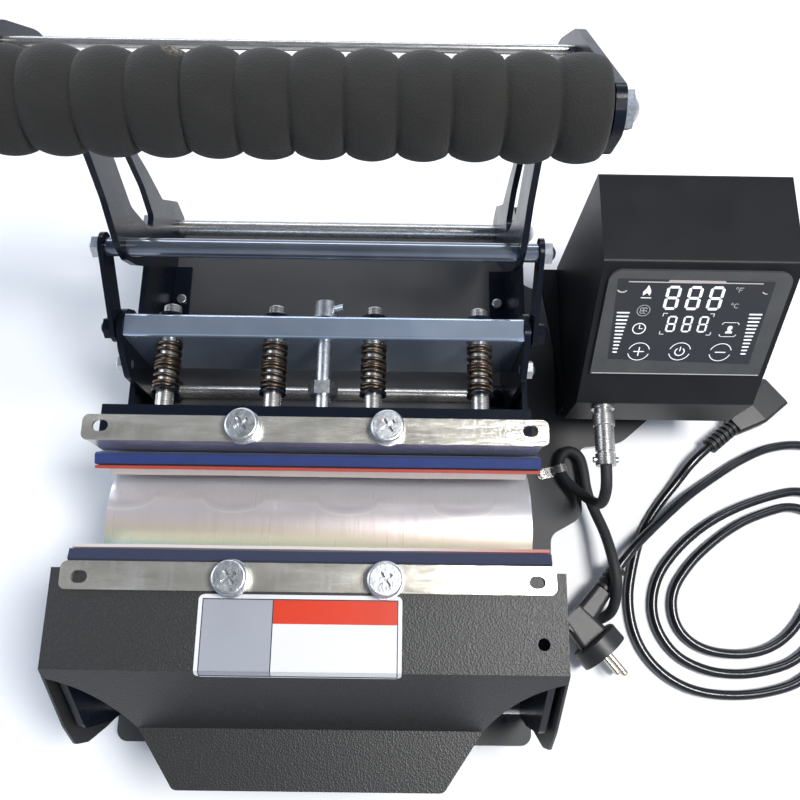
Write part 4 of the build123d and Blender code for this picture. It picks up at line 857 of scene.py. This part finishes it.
for cu, cv, start in ((30.2, 1.2, 0), (23.0, 1.2, 90), (23.0, -6.2, 180), (30.2, -6.2, 270)):
    lit.arc(cu, cv, 1.7, 0.45, start, start + 90)
lit.bar(23.4, 2.9, 29.8, 2.9, 0.4)
lit.bar(23.4, -7.9, 29.8, -7.9, 0.4)
dim = Print(0.00012)
dim.arc(-30.9, 11, 4.0, 0.45, 0, 360)
for turn in range(4):
    a = math.radians(45 + 90 * turn)
    dim.arc(-30.9 + 1.4 * math.cos(a), 11 + 1.4 * math.sin(a), 1.1, 0.5, 0, 300)
for v in (26.9, 15.4):
    dim.arc(23.6, v + 1.3, 0.6, 0.35, 0, 360)
dim.bar(25.2, 28.4, 27.6, 28.4, 0.5)
dim.bar(25.2, 28.4, 25.2, 25.2, 0.5)
dim.bar(25.2, 26.9, 27.0, 26.9, 0.45)
dim.arc(26.6, 15.4, 1.5, 0.5, 50, 310)
LIT_INK = print_ink("ink_lit", (0.78, 0.8, 0.84), 0.55)
DIM_INK = print_ink("ink_dim", (0.4, 0.41, 0.42), 0.15)
lit.piece("display_lit_marks", LIT_INK)
dim.piece("display_dim_marks", DIM_INK)
# The metal-coloured edge lines glow faintly, though they are no lamp: a painted highlight.
metal_line = Print(0.00012)
metal_line.bar(-43.9, 31.8, 38.6, 31.6, 0.7)
metal_line.arc(-46.9, 27.8, 3.6, 0.9, 215, 320)
metal_line.arc(42.6, 27.6, 3.2, 0.7, 215, 280)
metal_line.bar(-55.5, -38.6, 55.5, -38.8, 0.7)
metal_line.piece("display_edge_marks", print_ink("ink_edge", (0.55, 0.54, 0.5), 0.08))
# The slot mark glows faintly, though it is no lamp: painted light.
pink_line = Print(0.00016)
pink_line.bar(-19, 32.6, 15, 32.4, 1.7)
pink_line.piece("display_slot_mark", print_ink("ink_slot", (0.5, 0.43, 0.42), 0.05))
print("marks on the glass", len(lit.faces) + len(dim.faces))

# %% [markdown]
# ## The sticker
#
# A sticker lies on the cover in front of the front strip. It has plain colour fields inside a
# white border, and its lower edge folds a little over the bend of the cover.

# %% A sticker that follows the bend
STICKER = (-61.5, 53.5, -25.3, -72.0)         # left, right, back and front edge, in millimetres
BEND_Y, COVER_Z = -67.0, 168.0


def on_cover(x, y):
    """A point on the outside of the cover; past the bend, y is measured down the slope."""
    past = max(0.0, BEND_Y - y)
    return x, max(y, BEND_Y) - past * 0.574 * 1.0, COVER_Z - past * 0.819 + 0.14


def sticker_mesh(finish, corner=3.2):
    left, right_edge, back, front = STICKER
    verts, faces, columns = [], [], 60
    rows = [back - 0.7 * i for i in range(int((back - front) / 0.7))] + [front]
    for y in rows:
        near = min(back - y, y - front)
        cut = corner - math.sqrt(max(0, corner ** 2 - (corner - near) ** 2)) if near < corner else 0
        for i in range(columns + 1):
            verts.append(on_cover(left + cut + (right_edge - left - 2 * cut) * i / columns, y))
    for r in range(len(rows) - 1):
        for i in range(columns):
            a = r * (columns + 1) + i
            faces.append((a, a + columns + 1, a + columns + 2, a + 1))
    return mesh_piece("cover_sticker", verts, faces, finish)


def sticker_finish():
    """Vinyl: a white border, a dark line, a grey field, an orange band and a white field."""
    vinyl = Finish("sticker_vinyl", (0.8, 0.8, 0.82), 0.32)
    x, y = vinyl.x * 1000, vinyl.y * 1000

    def inside(u0, u1, v0, v1):
        return (x > u0) * (x < u1) * (y > v0) * (y < v1)

    print_grain = vinyl.noise(0.003, 2)
    tone = vinyl.mix(print_grain, (0.6, 0.61, 0.64), (0.68, 0.68, 0.71))
    tone = vinyl.mix(inside(-59.3, 51.3, -69.6, -27.6), tone.socket, (0.03, 0.03, 0.035))
    tone = vinyl.mix(inside(-58.7, -19.6, -69.0, -28.2), tone.socket, (0.29, 0.3, 0.34))
    tone = vinyl.mix(inside(-19.0, 50.7, -69.0, -28.2), tone.socket, (0.62, 0.62, 0.64))
    tone = vinyl.mix(inside(-19.0, 50.7, -41.2, -28.2), tone.socket, (0.52, 0.035, 0.012))
    return vinyl.paint(tone).rough(0.28 + 0.12 * print_grain)


sticker = sticker_mesh(sticker_finish())
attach(sticker, "machine")

# %% [markdown]
# ## Finishes of the solid parts
#
# Every solid part takes the finish of its slot. The cover wears a hammered powder coat, the
# base a finer grey one, and the arms a smooth dark paint with little shine. The strips are
# polished steel with fine scratches; the screws and nuts are zinc plated.

# %% Painted metal
def hammered_charcoal():
    coat = Finish("hammered_charcoal", (0.03, 0.031, 0.032), 0.42)
    pits = coat.cells(0.0011)
    fine = coat.noise(0.0009, 3)
    spark = (coat.noise(0.0005, 2) - 0.66).clamp() * 5
    coat.paint(coat.mix(pits * 0.6 + spark * 0.5, (0.009, 0.0094, 0.0098), (0.034, 0.035, 0.036)))
    return coat.rough(0.36 + 0.2 * fine).bump(pits + 0.4 * fine, 0.00016)


def base_grey():
    coat = Finish("base_grey", (0.07, 0.072, 0.076), 0.55)
    fine = coat.noise(0.0008, 3)
    broad = coat.noise(0.04, 3)
    coat.paint(coat.mix(fine * 0.7 + broad * 0.3, (0.02, 0.0205, 0.022), (0.06, 0.062, 0.066)))
    return coat.rough(0.5 + 0.15 * fine).bump(fine, 0.00012)


def box_black():
    coat = Finish("box_black", (0.012, 0.0125, 0.014), 0.4, specular_ior_level=0.18)
    fine = coat.noise(0.0006, 3)
    broad = coat.noise(0.03, 2)
    coat.paint(coat.mix(broad, (0.006, 0.0063, 0.0075), (0.014, 0.0145, 0.017)))
    return coat.rough(0.34 + 0.14 * fine).bump(fine, 0.00007)


def gloss_dark():
    coat = Finish("gloss_dark", (0.006, 0.008, 0.014), 0.24, specular_ior_level=0.15)
    orange_peel = coat.noise(0.0022, 2)
    dust = (coat.noise(0.0009, 2) - 0.7).clamp() * 4
    coat.paint(coat.mix(dust * 0.3, (0.005, 0.0075, 0.014), (0.16, 0.17, 0.19)))
    return coat.rough(0.18 + 0.14 * coat.noise(0.02, 2)).bump(orange_peel, 0.00004)


# %% [markdown]
# Bare metal is a mirror, so its looks come from small faults. Scratches run along the strips,
# turning marks round the rods, and zinc shows its crystal grain. A part of the strips, rods and
# chrome is kept diffuse, since the bright surroundings of the photograph aren't all there.

# %% Bare and plated metal
def polished_steel():
    """Polished sheet, worn by fine scratches both ways, with warm and grey cloudy reflections and pale
    streaks painted into its colour.
    """
    steel = Finish("polished_steel", (0.72, 0.69, 0.62), 0.2, metallic=0.82)
    scratch = steel.noise(0.0005, 4, along=steel.stretched(0.05, 1, 1))
    cross = steel.noise(0.0007, 3, along=steel.stretched(1, 0.1, 1))
    cloud = steel.noise(0.022, 3, along=steel.stretched(0.6, 2.2, 1))
    streak = (steel.noise(0.006, 3, along=steel.stretched(1, 0.16, 1)) - 0.5).clamp() * 3
    # Painted reflections: warm clouds and pale streaks in the steel's colour.
    tone = steel.mix(cloud, (0.5, 0.47, 0.39), (1.0, 0.97, 0.88))
    steel.paint(steel.mix(streak.clamp() * 0.6, tone.socket, (1.0, 1.0, 1.0)))
    return steel.rough(0.16 + 0.24 * scratch * cloud).bump(scratch + 0.5 * cross + 5 * cloud, 0.00009)


def zinc():
    plate = Finish("zinc", (0.6, 0.62, 0.65), 0.34, metallic=1.0)
    grain = plate.cells(0.0011)
    tarnish = plate.noise(0.004, 3)
    plate.paint(plate.mix(grain * 0.7 + tarnish * 0.3, (0.38, 0.4, 0.42), (0.74, 0.77, 0.8)))
    return plate.rough(0.24 + 0.24 * tarnish).bump(grain + tarnish, 0.00006)


def rod_steel():
    rod = Finish("rod_steel", (0.5, 0.49, 0.47), 0.26, metallic=0.85)
    turned = rod.noise(0.0007, 3, along=rod.stretched(0.1, 1, 0.1))
    rod.paint(rod.mix(turned, (0.36, 0.35, 0.34), (0.62, 0.61, 0.59)))
    return rod.rough(0.18 + 0.18 * turned).bump(turned, 0.00003)


def chrome(name, low, high):
    bright = Finish(name, high, 0.07, metallic=0.7)
    ripple = bright.noise(0.02, 2)
    haze = bright.noise(0.002, 3)
    bright.paint(bright.mix(ripple, low, high))
    return bright.rough(0.035 + 0.08 * haze).bump(ripple, 0.0001)


# %% [markdown]
# Moulded plastic and rubber share one recipe with different grain. The glass is dark, smeared by
# fingers and clear on top. The boards inside the box are seldom seen, so they stay simple.

# %% Plastic, rubber, glass and board
def rubber(name, colour, roughness, size):
    skin = Finish(name, colour, roughness)
    grain = skin.noise(size, 3)
    broad = skin.noise(0.01, 2)
    skin.paint(skin.mix(broad, tuple(0.7 * c for c in colour), tuple(1.5 * c for c in colour)))
    return skin.rough(roughness - 0.08 + 0.16 * grain).bump(grain, 0.00012)


def dark_glass():
    glass = Finish("dark_glass", (0.055, 0.057, 0.058), 0.1, coat_weight=0.5, coat_roughness=0.03)
    smear = glass.noise(0.015, 3)
    glass.paint(glass.mix(smear, (0.045, 0.047, 0.048), (0.075, 0.077, 0.078)))
    return glass.rough(0.07 + 0.12 * smear)


def board_green():
    board = Finish("board_green", (0.01, 0.08, 0.03), 0.45)
    track = board.cells(0.003)
    return board.paint(board.mix(track, (0.008, 0.06, 0.02), (0.02, 0.13, 0.05)))


def brass():
    pin = Finish("brass_pins", (0.7, 0.62, 0.46), 0.25, metallic=1.0)
    worn = pin.noise(0.002, 3)
    pin.paint(pin.mix(worn, (0.56, 0.5, 0.38), (0.78, 0.72, 0.6)))
    return pin.rough(0.2 + 0.18 * worn)


# %% Each part gets its finish
FINISHES = {
    "hammered_charcoal": hammered_charcoal(), "base_grey": base_grey(), "box_black": box_black(),
    "gloss_dark": gloss_dark(), "polished_steel": polished_steel(), "zinc": zinc(),
    # The chrome's blue is a painted reflection of the sky.
    "rod_steel": rod_steel(), "chrome": chrome("chrome", (0.42, 0.52, 0.68), (0.62, 0.72, 0.86)),
    "dark_chrome": chrome("dark_chrome", (0.16, 0.18, 0.22), (0.28, 0.31, 0.36)),
    "spring_bronze": SPRING_BRONZE, "liner_steel": LINER_SATIN, "sponge_blue": SPONGE_BLUE,
    "heater_red": HEATER_RED, "black_rubber": rubber("black_rubber", (0.018, 0.018, 0.019), 0.7, 0.0009),
    "foam": GRIP_FOAM, "dark_glass": dark_glass(), "board_green": board_green(),
    "black_plastic": rubber("black_plastic", (0.016, 0.0165, 0.018), 0.42, 0.0008),
    "cord_black": rubber("cord_moulding", (0.014, 0.0145, 0.016), 0.38, 0.0009), "brass_pins": brass(),
}
for part in frame["record"]["subparts"]:
    node = frame["nodes"][part["node"]]
    node.data.materials.clear()
    node.data.materials.append(FINISHES[part["material_slot"]].material)

# %% [markdown]
# ## The table and the light
#
# The machine stands on a plain pale table. One soft lamp hangs overhead to the right, so that the
# cover is brighter at its right end, a wide dim one fills from the left, and a strip lights the
# rods from behind. The world is pale blue near the horizon and dark overhead, with soft clouds
# between: flat black tops stay black, and bright metal has both to mirror.

# %% Table
floor_mesh = bpy.data.meshes.new("table")
grid = bmesh.new()
bmesh.ops.create_grid(grid, x_segments=2, y_segments=2, size=4.0)
grid.to_mesh(floor_mesh)
grid.free()
floor = bpy.data.objects.new("table", floor_mesh)
floor.location.z = -0.0004
bpy.context.scene.collection.objects.link(floor)
table_top = Finish("table_pale", (0.86, 0.87, 0.89), 0.7)
table_top.paint(table_top.mix(table_top.noise(0.3, 2), (0.84, 0.85, 0.88), (0.88, 0.89, 0.9)))
floor_mesh.materials.append(table_top.material)


# %% Lamps and world
def lamp(name, at, aim, size, power, colour):
    light = bpy.data.lights.new(name, "AREA")
    light.shape, light.size, light.size_y = "RECTANGLE", size[0], size[1]
    light.energy, light.color = power, colour
    item = bpy.data.objects.new(name, light)
    item.location = at
    item.rotation_euler = (Vector(aim) - Vector(at)).to_track_quat("-Z", "Y").to_euler()
    bpy.context.scene.collection.objects.link(item)


lamp("key_soft", (0.62, -0.02, 1.5), (0.05, 0.05, 0.05), (0.42, 0.42), 26, (1.0, 0.98, 0.95))
lamp("fill_left", (-1.3, 0.3, 0.9), (0.05, 0.05, 0.05), (1.0, 1.0), 10, (0.9, 0.94, 1.0))
lamp("back_strip", (0.0, 1.4, 0.8), (0.0, 0.1, 0.1), (1.6, 0.3), 8, (0.92, 0.95, 1.0))
world = bpy.data.worlds.new("studio")
world.use_nodes = True
sky = world.node_tree
sky_way = sky.nodes.new("ShaderNodeTexCoord")
sky_parts = sky.nodes.new("ShaderNodeSeparateXYZ")
sky.links.new(sky_way.outputs["Generated"], sky_parts.inputs[0])
sky_x, _, sky_z = [Num(sky, out) for out in sky_parts.outputs]
sky_cloud = sky.nodes.new("ShaderNodeTexNoise")
sky_cloud.inputs["Scale"].default_value = 4.0
sky.links.new(sky_way.outputs["Generated"], sky_cloud.inputs["Vector"])
sky_height = sky_z - 0.2 * sky_x + 0.7 * (Num(sky, sky_cloud.outputs[0]) - 0.5)
sky_ramp = sky.nodes.new("ShaderNodeValToRGB")
SKY = ((0.0, (0.8, 0.84, 0.9)), (0.42, (0.82, 0.9, 1.0)), (0.72, (0.34, 0.48, 0.74)),
       (0.9, (0.12, 0.14, 0.18)), (1.0, (0.06, 0.065, 0.08)))
for stop, (at, colour) in enumerate(SKY):
    element = sky_ramp.color_ramp.elements[stop] if stop < 2 else sky_ramp.color_ramp.elements.new(at)
    element.position = at
    element.color = (*colour, 1)
sky.links.new(sky_height.socket, sky_ramp.inputs[0])
sky.links.new(sky_ramp.outputs[0], sky.nodes["Background"].inputs["Color"])
sky.nodes["Background"].inputs["Strength"].default_value = 0.62
bpy.context.scene.world = world
bpy.context.scene.view_settings.view_transform = "Standard"
